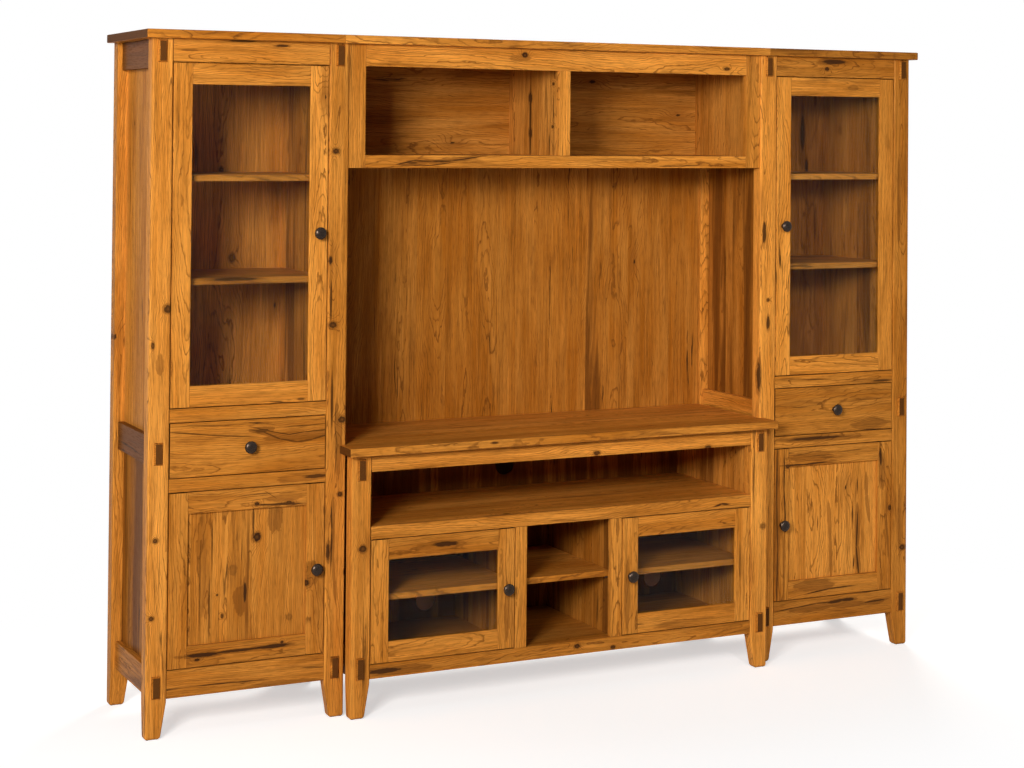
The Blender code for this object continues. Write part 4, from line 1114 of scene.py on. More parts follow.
class Piece:
    """Boards and fittings that stand for one node. Each board keeps its place in the log and its tone."""

    def __init__(self, node, kind="boards"):
        self.node = node
        self.name = f"{node}_{kind}"
        self.verts = []
        self.grain = []
        self.faces = []
        self.boards = []
        self.slots = []
        self.count = 0

    def take(self, shape, slot=0):
        """Adds a shape as it is and frees it."""
        start = len(self.verts)
        shape.verts.index_update()
        for vert in shape.verts:
            self.verts.append(vert.co.copy())
            self.grain.append((0.0, 0.0, 0.0))
        for face in shape.faces:
            self.faces.append([start + vert.index for vert in face.verts])
            self.boards.append((0.5, 0.5, 0.5, 0.0))
            self.slots.append(slot)
        shape.free()

    def board(self, x, y, z, grain, face, ease=None, sharp=(), same=False, shape=None):
        """A board between its limits, or of a given shape. Its grain runs along one axis and its broad
        face looks along another. The same log and tone as the last board's are kept if asked."""
        limits = Box(tuple(sorted(x)), tuple(sorted(y)), tuple(sorted(z)))
        if ease is None:
            ease = bpy.context.scene.wall_unit_wood.ease
        if shape is None:
            shape = box_shape(limits, ease, sharp)
        if not same:
            self.pick(limits, grain, face)
        along, across, through = self.axes
        start = len(self.verts)
        shape.verts.index_update()
        shape.normal_update()
        for vert in shape.verts:
            self.verts.append(vert.co.copy())
            run = vert.co[along] - self.middle[along]
            place = (
                vert.co[along] + self.log[0],
                vert.co[across] - self.middle[across] + self.log[1] + run * self.log[3],
                vert.co[through] - self.middle[through] + self.log[2],
            )
            self.grain.append(place)
        for shape_face in shape.faces:
            end = 1.0 if abs(shape_face.normal[along]) > 0.72 else 0.0
            self.faces.append([start + vert.index for vert in shape_face.verts])
            self.boards.append((*self.tone, end))
            self.slots.append(0)
        shape.free()

    def pick(self, limits, grain, face):
        """Chooses the next board's log and tone from the piece's name and the board's number."""
        self.count += 1
        luck = random.Random(f"{self.name} {self.count}")
        along = AXES[grain]
        through = AXES[face]
        self.axes = (along, 3 - along - through, through)
        self.middle = [(low + high) / 2 for low, high in limits]
        width = limits[self.axes[1]][1] - limits[self.axes[1]][0]
        aside = luck.uniform(-0.6, 0.6) * min(width, 0.12)
        if luck.random() < 0.3:
            aside = luck.choice((-1, 1)) * luck.uniform(0.05, 0.12)
        depth = luck.choice((-1, 1)) * luck.uniform(0.012, 0.055)
        self.log = (luck.uniform(0, 60), aside, depth, luck.uniform(-0.012, 0.012))
        base = (luck.uniform(0.35, 0.80), luck.uniform(0.2, 0.8), max(0.0, luck.uniform(-0.20, 0.55)))
        # Boards of pieces that lie in shade get a lower tone: painted shade
        if self.name in SHADE_DARKENED_PIECES:
            base = (base[0] * 0.30, base[1], base[2])
        self.tone = TONES.get(self.name, {}).get(self.count, base)

    def glued(self, x, y, z, grain, face, split, count, ease=None, sharp=()):
        """A panel of boards glued edge to edge across one axis, in slightly different widths."""
        limits = {"x": x, "y": y, "z": z}
        low, high = sorted(limits[split])
        luck = random.Random(f"{self.name} widths {self.count}")
        widths = WIDTHS.get(self.name) or [luck.uniform(0.75, 1.25) for _ in range(count)]
        count = len(widths)
        way = Vector([float(axis == split) for axis in "xyz"])
        start = low
        for number, width in enumerate(widths):
            stop = high if number == count - 1 else start + (high - low) * width / sum(widths)
            limits[split] = (start, stop)
            inner = []
            if number > 0:
                inner.append(tuple(-way))
            if number < count - 1:
                inner.append(tuple(way))
            self.board(limits["x"], limits["y"], limits["z"], grain, face, ease, (*sharp, *inner))
            start = stop

    def finish(self, body="carcass", slot_name="hickory", materials=None, replaces=True):
        """Makes the piece's object, which rides on a body and may stand for its node."""
        mesh = bpy.data.meshes.new(self.name)
        mesh.from_pydata(self.verts, [], self.faces)
        grain = mesh.attributes.new("grain", "FLOAT_VECTOR", "POINT")
        grain.data.foreach_set("vector", [value for place in self.grain for value in place])
        board = mesh.attributes.new("board", "FLOAT_COLOR", "CORNER")
        tones = []
        for polygon, tone in zip(mesh.polygons, self.boards):
            tones.extend(tone * polygon.loop_total)
        board.data.foreach_set("color", tones)
        mesh.polygons.foreach_set("material_index", self.slots)
        mesh.polygons.foreach_set("use_smooth", [True] * len(self.faces))
        for material in materials or [wood_of(self.node)]:
            mesh.materials.append(material)
        mesh.update()
        mesh.set_sharp_from_angle(angle=math.radians(50))
        made = bpy.data.objects.new(self.name, mesh)
        bpy.context.scene.collection.objects.link(made)
        smooth = made.modifiers.new("even arrises", "WEIGHTED_NORMAL")
        smooth.weight = 100
        smooth.keep_sharp = True
        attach(made, body)
        if replaces:
            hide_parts(self.node)


def wood_of(node):
    """The piece's own hickory where it has marks, else the shared one."""
    return bpy.data.materials[f"{node}_hickory" if node in MARKS else "lacquered_hickory"]


def inward(case, end, near, far):
    """X limits measured into a case from its outer face."""
    way = 1 if end == LOW else -1
    return tuple(sorted((case.x[end] + way * near, case.x[end] + way * far)))


def between_posts(case, gap=SEAT):
    return case.x[LOW] + POST_W + gap, case.x[HIGH] - POST_W - gap


def post_shape(case, end, y_low, foot_side, height):
    """A post with rounded arrises, tapered at its foot on the inner x face and on one y face."""
    wood = bpy.context.scene.wall_unit_wood
    way = 1 if end == LOW else -1
    middle_x = case.x[end] + way * POST_W / 2
    shape = bmesh.new()
    bmesh.ops.create_cube(shape, size=1.0)
    bmesh.ops.scale(shape, vec=(POST_W, POST_D, height), verts=shape.verts)
    bmesh.ops.translate(shape, vec=(0, 0, height / 2), verts=shape.verts)
    everything = shape.verts[:] + shape.edges[:] + shape.faces[:]
    bmesh.ops.bisect_plane(shape, geom=everything, plane_co=(0, 0, FOOT_Z), plane_no=(0, 0, 1))
    for vert in shape.verts:
        if vert.co.z < FOOT_Z / 2:
            if vert.co.x * way > 0:
                vert.co.x -= way * FOOT_TAPER_X
            if vert.co.y * foot_side > 0:
                vert.co.y -= foot_side * FOOT_TAPER_Y
    uprights = [e for e in shape.edges if abs(e.verts[0].co.z - e.verts[1].co.z) > FOOT_Z / 2]
    bmesh.ops.bevel(shape, geom=uprights, offset=wood.post_round, segments=4, profile=0.5, affect="EDGES")
    sole = [e for e in shape.edges if max(e.verts[0].co.z, e.verts[1].co.z) < FOOT_Z / 100]
    bmesh.ops.bevel(shape, geom=sole, offset=FOOT_ROUND, segments=4, profile=0.5, affect="EDGES")
    bmesh.ops.translate(shape, vec=(middle_x, y_low + POST_D / 2, 0), verts=shape.verts)
    return shape


def add_post(piece, case, end, y_low, foot_side):
    shape = post_shape(case, end, y_low, foot_side, case.top)
    piece.board(inward(case, end, 0, POST_W), (y_low, y_low + POST_D), (0, case.top), "z", "y", shape=shape)


# Levels of the towers, console and bridge, in metres above the floor
CABINET_Z = box_of("left_tower_bottom_deck").z[1]
DRAWER_Z = box_of("left_tower_panel_door_frame").z[1] + DOOR_GAP + DRAWER_RAIL_H
DISPLAY_Z = box_of("left_tower_display_deck").z[1]
DISPLAY_TOP_Z = BOARD_Z - TOWER_TOP_RAIL_H
CONSOLE_DOOR_Z = box_of("console_bottom_deck").z[1]
MEDIA_Z = box_of("console_media_shelf").z[1]
MEDIA_TOP_Z = CONSOLE_TOP - BOARD_T - CONSOLE_TOP_RAIL_H
NICHE_BACK = box_of("niche_back_panel")


def end_node(case, end, part):
    """The node of a part at a case's low or high end, which a tower calls outer and inner."""
    if case.name == "console":
        return f"console_{('left', 'right')[end]}_{part}"
    outer = LOW if case.name == "left_tower" else HIGH
    return f"{case.name}_{'outer' if end == outer else 'inner'}_{part}"


def rail_levels(case):
    """Undersides of a side's rails and of their tenons, from the floor up."""
    top_rail = case.top - SEAT - SIDE_RAIL_H
    if case.name == "console":
        return (SIDE_RAIL_Z[0], top_rail), (TENON_Z[0], case.top - CONSOLE_TENON_DROP - TENON_H)
    return (*SIDE_RAIL_Z, top_rail), (*TENON_Z, case.top - TOWER_TENON_DROP - TENON_H)


def build_front_posts():
    for case in CASES.values():
        for end in (LOW, HIGH):
            piece = Piece(end_node(case, end, "front_post"), "turned")
            add_post(piece, case, end, case.front, 1)
            piece.finish()


def lined_bays(case):
    """Levels between which boards line a case flush with its posts."""
    if case.name == "console":
        return (CONSOLE_DOOR_Z, MEDIA_Z - DECK_T - SEAT), (MEDIA_Z, MEDIA_TOP_Z)
    return (CABINET_Z, DRAWER_Z - DECK_T - SEAT), (DISPLAY_Z, BOARD_Z)


def tenon_shape(limits):
    """A through tenon whose proud end is bevelled all round by a deep flat chamfer."""
    shape = box_shape(limits)
    everything = shape.verts[:] + shape.edges[:] + shape.faces[:]
    depth = (0, limits.y[0] + TENON_FLAT, 0)
    bmesh.ops.bisect_plane(shape, geom=everything, plane_co=depth, plane_no=(0, 1, 0))
    for vert in shape.verts:
        if vert.co.y < limits.y[0] + TENON_FLAT / 2:
            for axis in (0, 2):
                middle = sum(limits[axis]) / 2
                vert.co[axis] += math.copysign(TENON_CHAMFER, middle - vert.co[axis])
    return shape


def build_sides():
    for case in CASES.values():
        for end in (LOW, HIGH):
            node = end_node(case, end, "side")
            rails, tenons = rail_levels(case)
            if node.endswith("inner_side"):
                tenons = (tenons[0], tenons[-1])
            piece = Piece(node)
            back_y = BACK_Y - POST_D
            add_post(piece, case, end, back_y, -1)
            ends = ((0, -1, 0), (0, 1, 0))
            span = (case.front + POST_D + SEAT, back_y)
            rail_x = inward(case, end, SIDE_RECESS, SIDE_RECESS + SIDE_RAIL_T)
            for low in rails:
                piece.board(rail_x, span, (low, low + SIDE_RAIL_H), "y", "x", sharp=ends)
            centre = SIDE_RECESS + SIDE_RAIL_T / 2
            tenon_x = inward(case, end, centre - TENON_W / 2, centre + TENON_W / 2)
            for low in tenons:
                y = (case.front - TENON_PROUD, case.front + POST_D + SEAT)
                z = (low, low + TENON_H)
                piece.board(tenon_x, y, z, "y", "x", shape=tenon_shape(Box(tuple(sorted(tenon_x)), y, z)))
            panel_x = inward(case, end, SIDE_PANEL_RECESS, SIDE_PANEL_RECESS + SIDE_PANEL_T)
            for lower, upper in zip(rails, rails[1:]):
                z = (lower + SIDE_RAIL_H, upper)
                piece.glued(panel_x, span, z, "z", "x", "y", 3, ease=GLUED_EASE)
            lining_x = inward(case, end, SIDE_RECESS + SIDE_RAIL_T + SEAT, POST_W)
            for z in lined_bays(case):
                piece.glued(lining_x, span, z, "z", "x", "y", 4, ease=LINING_EASE)
            piece.finish()


def build_tops():
    seam = {"left_tower": (1, 0, 0), "right_tower": (-1, 0, 0)}
    for name in TOWERS:
        node = f"{name}_top_board"
        limits = box_of(node)
        case = CASES[name]
        piece = Piece(node)
        top = (BOARD_Z, limits.z[1])
        ease = bpy.context.scene.wall_unit_wood.board_round
        piece.glued(limits.x, limits.y, top, "x", "z", "y", 4, ease=ease, sharp=(seam[name], (0, 1, 0)))
        rail_y = (case.front + FACE_RECESS, case.front + FACE_RECESS + RAIL_T)
        piece.board(between_posts(case), rail_y, (DISPLAY_TOP_Z, BOARD_Z), "x", "y")
        piece.finish()
    node = "bridge_top_board"
    limits = box_of(node)
    piece = Piece(node)
    seams = ((1, 0, 0), (-1, 0, 0), (0, 1, 0))
    ease = bpy.context.scene.wall_unit_wood.board_round
    piece.glued(limits.x, limits.y, limits.z, "x", "z", "y", 4, ease=ease, sharp=seams)
    piece.finish()


def build_console_top():
    node = "console_top_board"
    limits = box_of(node)
    case = CASES["console"]
    piece = Piece(node)
    wood = bpy.context.scene.wall_unit_wood
    z = (CONSOLE_TOP - BOARD_T, CONSOLE_TOP)
    front = (limits.y[0], TOWER_FRONT - SEAT)
    piece.board(limits.x, front, z, "x", "z", ease=wood.board_round, sharp=((0, 1, 0),))
    rabbet = NICHE_BACK.y[0] - SEAT
    joint = ((0, -1, 0), (0, 1, 0))
    piece.glued(case.x, (front[1], rabbet), z, "x", "z", "y", 4, ease=0.0, sharp=joint)
    piece.board(case.x, (rabbet, BACK_Y), (z[0], NICHE_BACK.z[0] - SEAT), "x", "z", ease=0.0, same=True)
    rail_y = (case.front + FACE_RECESS, case.front + FACE_RECESS + RAIL_T)
    piece.board(between_posts(case), rail_y, (MEDIA_TOP_Z, z[0]), "x", "y")
    piece.finish()


def add_deck(piece, case, top_z, height):
    """A deck of boards notched round the posts, and its face rail of some height."""
    inset = SIDE_RECESS + SIDE_RAIL_T + SEAT
    rail_y = (case.front + FACE_RECESS, case.front + FACE_RECESS + RAIL_T)
    z = (top_z - DECK_T, top_z - SEAT)
    wide = (case.x[LOW] + inset, case.x[HIGH] - inset)
    front_y = case.front + POST_D + SEAT
    back_y = BACK_Y - POST_D - SEAT
    narrow = between_posts(case)
    piece.board(narrow, (rail_y[1], front_y), z, "x", "z", ease=0.0)
    piece.glued(wide, (front_y, back_y), z, "x", "z", "y", 3, ease=0.0)
    piece.board(narrow, (back_y, BACK_Y - BACK_T - SEAT), z, "x", "z", ease=0.0)
    piece.board(narrow, rail_y, (top_z - height, top_z), "x", "y")


def build_decks():
    for name in TOWERS:
        case = CASES[name]
        levels = (
            ("bottom_deck", CABINET_Z, APRON_H),
            ("drawer_deck", DRAWER_Z, DRAWER_RAIL_H),
            ("display_deck", DISPLAY_Z, DISPLAY_RAIL_H),
        )
        for label, top_z, height in levels:
            piece = Piece(f"{name}_{label}")
            add_deck(piece, case, top_z, height)
            if label == "drawer_deck":
                near = POST_W + BOX_GAP
                y = (case.front + FACE_RECESS + DOOR_T + RUNNER_START, case.front + RUNNER_END)
                z = (DRAWER_Z, DRAWER_Z + RUNNER_H)
                for end in (LOW, HIGH):
                    piece.board(inward(case, end, near, near + RUNNER_W), y, z, "y", "z")
            piece.finish()
    case = CASES["console"]
    levels = (("bottom_deck", CONSOLE_DOOR_Z, CONSOLE_RAIL_H), ("media_shelf", MEDIA_Z, MEDIA_RAIL_H))
    for label, top_z, height in levels:
        piece = Piece(f"console_{label}")
        add_deck(piece, case, top_z, height)
        piece.finish()


def rod_shape(centre, radius, length, axis, steps, ease=0.0):
    """A round bar along one axis."""
    shape = bmesh.new()
    bmesh.ops.create_cone(shape, cap_ends=True, segments=steps, depth=length, radius1=radius, radius2=radius)
    if ease:
        rims = [e for e in shape.edges if abs(e.verts[0].co.z - e.verts[1].co.z) < length / 2]
        bmesh.ops.bevel(shape, geom=rims, offset=ease, segments=2, profile=0.5, affect="EDGES")
    quarter = math.pi / 2
    turns = {"x": Matrix.Rotation(quarter, 4, "Y"), "y": Matrix.Rotation(quarter, 4, "X"), "z": Matrix()}
    bmesh.ops.transform(shape, matrix=Matrix.Translation(centre) @ turns[axis], verts=shape.verts)
    return shape


SHELVES = [f"{name}_{label}_shelf" for name in TOWERS for label in ("upper", "lower")]
SHELVES += [f"console_{label}_shelf" for label in ("left", "cubby", "right")]


def build_shelves():
    for node in SHELVES:
        limits = box_of(node)
        piece = Piece(node)
        inset = SHELF_GAP - SEAT
        x = (limits.x[0] + inset, limits.x[1] - inset)
        z = (limits.z[1] - DECK_T, limits.z[1])
        count = 4 if "tower" in node else 3
        ends = ((-1, 0, 0), (1, 0, 0))
        piece.glued(x, limits.y, z, "x", "z", "y", count, sharp=ends)
        length = PIN_L + inset
        for wall, way in ((limits.x[0], 1), (limits.x[1], -1)):
            for y in (limits.y[0] + PIN_INSET, limits.y[1] - PIN_INSET):
                centre = (wall + way * length / 2, y, z[0] - PIN_R)
                piece.take(rod_shape(centre, PIN_R, length, "x", 16), slot=1)
        piece.finish(slot_name="inner_hickory", materials=[wood_of(node), bpy.data.materials["hinge_steel"]])


def add_member(piece, x, z, face, lip, grain, inner):
    """A stile or rail of a door: its face part, and behind the lip its narrower back part."""
    back_x = list(x)
    back_z = list(z)
    limits = {"x": back_x, "z": back_z}[inner[0]]
    limits[inner[1]] -= REBATE_W * (1 if inner[1] == HIGH else -1)
    if grain == "x":
        back_x = [x[0] - REBATE_W, x[1] + REBATE_W]
    piece.board(x, (face, face + lip), z, grain, "y", sharp=((0, 1, 0),))
    piece.board(back_x, (face + lip, face + DOOR_T), back_z, grain, "y", sharp=((0, -1, 0),), same=True)


DOORS = {f"{name}_glass_door": "pane" for name in TOWERS}
DOORS |= {f"{name}_panel_door": "panel" for name in TOWERS}
DOORS |= {"console_left_door": "pane", "console_right_door": "pane"}


def hinge_sign(door_name):
    """1 where a door hangs on its low x side, else -1."""
    return 1 if door_name.startswith("left") or "left_door" in door_name else -1


def build_doors():
    for name, kind in DOORS.items():
        node = f"{name}_frame"
        limits = box_of(node)
        lip = LIP_T[kind]
        face = limits.y[0]
        x0, x1 = limits.x
        z0, z1 = limits.z
        piece = Piece(node)
        add_member(piece, (x0, x0 + STILE_W), (z0, z1), face, lip, "z", ("x", HIGH))
        add_member(piece, (x1 - STILE_W, x1), (z0, z1), face, lip, "z", ("x", LOW))
        inner = (x0 + STILE_W, x1 - STILE_W)
        add_member(piece, inner, (z1 - DOOR_RAIL_H, z1), face, lip, "x", ("z", LOW))
        add_member(piece, inner, (z0, z0 + DOOR_RAIL_H), face, lip, "x", ("z", HIGH))
        piece.finish(name)
        if kind == "panel":
            fill = f"{name}_panel"
            panel = box_of(fill)
            piece = Piece(fill)
            piece.glued(panel.x, panel.y, panel.z, "z", "y", "x", 4, ease=GLUED_EASE)
            piece.finish(name, "panel_hickory")


def build_drawers():
    for name in TOWERS:
        node = f"{name}_drawer"
        limits = box_of(node)
        case = CASES[name]
        face = limits.y[0]
        piece = Piece(node)
        piece.board(limits.x, (face, face + DOOR_T), limits.z, "x", "y")
        x0, x1 = between_posts(case, BOX_GAP)
        y0, y1 = face + DOOR_T, limits.y[1]
        z0 = DRAWER_Z + RUNNER_H + SEAT
        box_z = (z0, z0 + BOX_H)
        inner = (x0 + BOX_WALL_T, x1 - BOX_WALL_T)
        for side_x in ((x0, inner[0]), (inner[1], x1)):
            piece.board(side_x, (y0, y1), box_z, "y", "x")
        piece.board(inner, (y1 - BOX_WALL_T, y1), box_z, "x", "y")
        piece.glued(inner, (y0, y1 - BOX_WALL_T), (z0, z0 + BOX_BASE_T), "x", "z", "y", 3, ease=0.0)
        piece.finish(node)


def build_backs():
    for name in TOWERS:
        node = f"{name}_back_panel"
        limits = box_of(node)
        piece = Piece(node)
        piece.glued(*limits, "z", "y", "x", 4, ease=BACK_EASE)
        piece.finish(slot_name="inner_hickory")
    piece = Piece("niche_back_panel")
    piece.glued(*NICHE_BACK, "z", "y", "x", 11, ease=LINING_EASE)
    piece.finish(slot_name="panel_hickory")
    console_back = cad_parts["console_back_panel"]
    for slot in console_back.material_slots:
        slot.material = bpy.data.materials["upright_hickory"]


def build_partitions():
    for label in ("left", "right"):
        node = f"console_{label}_partition"
        limits = box_of(node)
        centre = (limits.x[0] + limits.x[1]) / 2
        face = limits.y[0]
        wall_y = (face + RAIL_T + SEAT, limits.y[1])
        piece = Piece(node)
        wall_x = (centre - CASE_WALL_T / 2, centre + CASE_WALL_T / 2)
        wall_z = (limits.z[0], MEDIA_Z - DECK_T - SEAT)
        piece.glued(wall_x, wall_y, wall_z, "z", "x", "y", 3, ease=GLUED_EASE)
        stile_z = (limits.z[0], MEDIA_Z - MEDIA_RAIL_H - SEAT)
        piece.board(limits.x, (face, face + RAIL_T), stile_z, "z", "y")
        piece.finish()


def build_bridge():
    limits = box_of("bridge_case")
    x0, x1 = limits.x
    front, back = limits.y
    z0, z1 = limits.z
    face_y = (front, front + RAIL_T)
    inside_y = (face_y[1], back - BRIDGE_BACK_T)
    open_z = z0 + BRIDGE_RAIL_H
    piece = Piece("bridge_case")
    for left in (x0, x1 - BRIDGE_STILE_W):
        piece.board((left, left + BRIDGE_STILE_W), face_y, (z0, z1), "z", "y")
    for rail_z in ((z0, open_z), (DISPLAY_TOP_Z, z1)):
        piece.board((x0 + BRIDGE_STILE_W, x1 - BRIDGE_STILE_W), face_y, rail_z, "x", "y")
    piece.board((-BRIDGE_MULLION_W / 2, BRIDGE_MULLION_W / 2), face_y, (open_z, DISPLAY_TOP_Z), "z", "y")
    wall = CASE_WALL_T
    for side_x in ((x0, x0 + wall), (x1 - wall, x1)):
        piece.glued(side_x, inside_y, (z0, z1), "z", "x", "y", 3, ease=GLUED_EASE)
    piece.glued((-wall / 2, wall / 2), inside_y, (open_z, z1), "z", "x", "y", 3, ease=GLUED_EASE)
    piece.glued((x0 + wall, x1 - wall), inside_y, (open_z - wall, open_z), "x", "z", "y", 3, ease=GLUED_EASE)
    piece.glued((x0, x1), (inside_y[1], back), (z0, z1), "x", "y", "z", 3, ease=GLUED_EASE)
    piece.finish()


def knob_profile():
    """Half outline of a mushroom knob, from the crown down its outer side to the base."""
    points = []
    for step in range(9):
        angle = step * math.pi / 16
        points.append((0.019 * math.sin(angle), 0.021 + 0.009 * math.cos(angle)))
    points += [(0.0188, 0.0197), (0.0177, 0.0177), (0.0142, 0.0155), (0.0092, 0.0141), (0.0069, 0.0122)]
    points += [(0.0064, 0.0095), (0.0066, 0.0062), (0.0076, 0.0044)]
    points += [(0.0094, 0.0030), (0.0095, 0.0010), (0.0093, 0.0)]
    return points


def knob_shape(centre):
    """A knob turned about the y axis, standing out of a front."""
    steps = bpy.context.scene.wall_unit_metal.turns
    shape = bmesh.new()
    profile = knob_profile()
    rings = []
    for radius, height in profile[1:]:
        ring = []
        for step in range(steps):
            angle = 2 * math.pi * step / steps
            ring.append(shape.verts.new((radius * math.cos(angle), -height, radius * math.sin(angle))))
        rings.append(ring)
    crown = shape.verts.new((0, -profile[0][1], 0))
    base = shape.verts.new((0, -profile[-1][1], 0))
    for step in range(steps):
        after = (step + 1) % steps
        shape.faces.new((crown, rings[0][step], rings[0][after]))
        for upper, lower in zip(rings, rings[1:]):
            shape.faces.new((upper[step], lower[step], lower[after], upper[after]))
        shape.faces.new((rings[-1][step], base, rings[-1][after]))
    bmesh.ops.recalc_face_normals(shape, faces=shape.faces)
    bmesh.ops.translate(shape, vec=centre, verts=shape.verts)
    return shape


def build_knobs():
    bodies = [*DOORS, *(f"{name}_drawer" for name in TOWERS)]
    for body in bodies:
        node = f"{body}_knob"
        limits = box_of(node)
        centre = ((limits.x[0] + limits.x[1]) / 2, limits.y[1], (limits.z[0] + limits.z[1]) / 2)
        piece = Piece(node, "turned")
        piece.take(knob_shape(centre))
        piece.finish(body, "dark_bronze", [bpy.data.materials["rubbed_bronze"]])


def build_hinges():
    """Concealed hinges: cup and flange on the door, arm and plate on the post."""
    for name in DOORS:
        door = box_of(f"{name}_frame")
        way = hinge_sign(name)
        side = door.x[0] if way == 1 else door.x[1]
        back = door.y[0] + DOOR_T
        post_face = side - way * DOOR_GAP
        cups = Piece(name, "hinge_cups")
        arms = Piece(name, "hinge_arms")
        for z in (door.z[0] + HINGE_END, door.z[1] - HINGE_END):
            centre = (side + way * CUP_INSET, back + CUP_T / 2, z)
            cups.take(rod_shape(centre, CUP_R, CUP_T, "y", 40, ease=CUP_EASE))
            arm_y = back + CUP_T + SEAT
            plate_x = sorted((post_face, post_face + way * PLATE_T))
            plate_y = (arm_y + PLATE_Y[0], arm_y + PLATE_Y[1])
            plate_z = (z - PLATE_H / 2, z + PLATE_H / 2)
            arms.take(box_shape((plate_x, plate_y, plate_z), PLATE_EASE))
            arm_x = sorted((post_face + way * ARM_X[0], post_face + way * ARM_X[1]))
            arm_z = (z - ARM_H / 2, z + ARM_H / 2)
            arms.take(box_shape((arm_x, (arm_y, arm_y + ARM_T), arm_z), ARM_EASE))
        for piece, body in ((cups, name), (arms, "carcass")):
            piece.finish(body, "dark_bronze", [bpy.data.materials["hinge_steel"]], replaces=False)


def build_finishes():
    figure_group()
    mark_group()
    hickory("lacquered_hickory")
    for node in MARKS:
        hickory(f"{node}_hickory", marks_of(node))
    hickory("upright_hickory", from_place=True)
    bronze("rubbed_bronze")
    steel("hinge_steel")
    clear_glass("door_glass")


def build_panes():
    for name, kind in DOORS.items():
        if kind == "pane":
            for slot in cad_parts[f"{name}_pane"].material_slots:
                slot.material = bpy.data.materials["door_glass"]


# Stage


LAMP_TINT = (1.0, 0.98, 0.95)
WHITE = (1.0, 1.0, 1.0, 1.0)
FLOOR_GLOW = 0.56
SHADOW_REACH = (0.6, 1.7)


def add_lamp(name, kind, place, target, energy, **settings):
    data = bpy.data.lights.new(name, kind)
    data.energy = energy
    data.color = LAMP_TINT
    for setting, given in settings.items():
        setattr(data, setting, given)
    lamp = bpy.data.objects.new(name, data)
    lamp.location = place
    lamp.rotation_euler = (Vector(target) - Vector(place)).to_track_quat("-Z", "Y").to_euler()
    bpy.context.scene.collection.objects.link(lamp)


def area_lamp(name, place, target, size, energy):
    add_lamp(name, "AREA", place, target, energy, shape="RECTANGLE", size=size[0], size_y=size[1])


def seen_white(net):
    """1 for the camera's, glossy and transmission rays, which the white background is shown to."""
    rays = net.add("ShaderNodeLightPath").outputs
    return net.most(rays["Is Camera Ray"], net.most(rays["Is Glossy Ray"], rays["Is Transmission Ray"]))


def stage_object(name, shape):
    """An object of the stage, made of a shape that is freed."""
    mesh = bpy.data.meshes.new(name)
    shape.to_mesh(mesh)
    shape.free()
    made = bpy.data.objects.new(name, mesh)
    bpy.context.scene.collection.objects.link(made)
    return made


def build_floor(settings):
    """A pale floor that keeps the object's shadow near it and is plain white further out."""
    shape = bmesh.new()
    bmesh.ops.create_grid(shape, x_segments=4, y_segments=4, size=20.0)
    floor = stage_object("studio_floor", shape)
    material, net, shader = surface("studio_floor")
    place = net.add("ShaderNodeTexCoord").outputs["Object"]
    plain = tuple(settings.floor)
    tint = net.blend(net.noise(place, 3.0, 2.0)[0], plain, tuple(v * 0.985 for v in plain))
    net.feed(shader.inputs["Base Color"], tint)
    shader.inputs["Roughness"].default_value = 0.7
    shader.inputs["Specular IOR Level"].default_value = 0.1
    away = net.vector("LENGTH", net.stretch(place, (0.62, 1.0, 0.0)))
    white = net.add("ShaderNodeEmission")
    glow = net.add("ShaderNodeEmission")
    glow.inputs["Strength"].default_value = FLOOR_GLOW
    lit = net.add("ShaderNodeAddShader")
    net.feed(lit.inputs[0], shader.outputs[0])
    net.feed(lit.inputs[1], glow.outputs[0])
    far = net.mix_shaders(net.range(away, *SHADOW_REACH), lit.outputs[0], white.outputs[0])
    show(material, net, net.mix_shaders(seen_white(net), shader.outputs[0], far))
    floor.data.materials.append(material)


def build_shade_discs():
    """Discs close behind the console's cable holes, dull towards the bays and unseen from behind. The middle
    disc is dark as painted shade, the outer ones pale.
    """
    shape = bmesh.new()
    for x, z in CABLE_HOLES:
        upright = Matrix.Translation((x, BACK_Y + DISC_GAP, z)) @ Matrix.Rotation(math.radians(90), 4, "X")
        radius = CABLE_HOLE_R + DISC_GAP
        bmesh.ops.create_circle(shape, cap_ends=True, segments=32, radius=radius, matrix=upright)
    shape.normal_update()
    bmesh.ops.reverse_faces(shape, faces=[face for face in shape.faces if face.normal.y > 0])
    discs = stage_object("shade_discs", shape)
    material, net, shader = surface("shade_discs")
    place = net.split(net.add("ShaderNodeTexCoord").outputs["Object"])
    beside = net.range(net.math("ABSOLUTE", place[0]), 0.2, 0.3)
    # The middle disc is dark as painted shade behind its hole; the outer ones are pale
    net.feed(shader.inputs["Base Color"], net.blend(beside, (0.03, 0.022, 0.018), (0.95, 0.82, 0.76)))
    shader.inputs["Roughness"].default_value = 0.95
    shader.inputs["Specular IOR Level"].default_value = 0.0
    clear = net.add("ShaderNodeBsdfTransparent")
    behind = net.add("ShaderNodeNewGeometry").outputs["Backfacing"]
    show(material, net, net.mix_shaders(behind, shader.outputs[0], clear.outputs[0]))
    discs.data.materials.append(material)


def build_world(settings):
    world = bpy.data.worlds.new("studio")
    bpy.context.scene.world = world
    world.use_nodes = True
    net = Net(world.node_tree)
    world.node_tree.nodes.clear()
    lights = []
    for tint, strength in (((*LAMP_TINT, 1.0), settings.sky), (WHITE, 1.0)):
        light = net.add("ShaderNodeBackground")
        light.inputs["Color"].default_value = tint
        light.inputs["Strength"].default_value = strength
        lights.append(light.outputs[0])
    net.feed(net.add("ShaderNodeOutputWorld").inputs["Surface"], net.mix_shaders(seen_white(net), *lights))


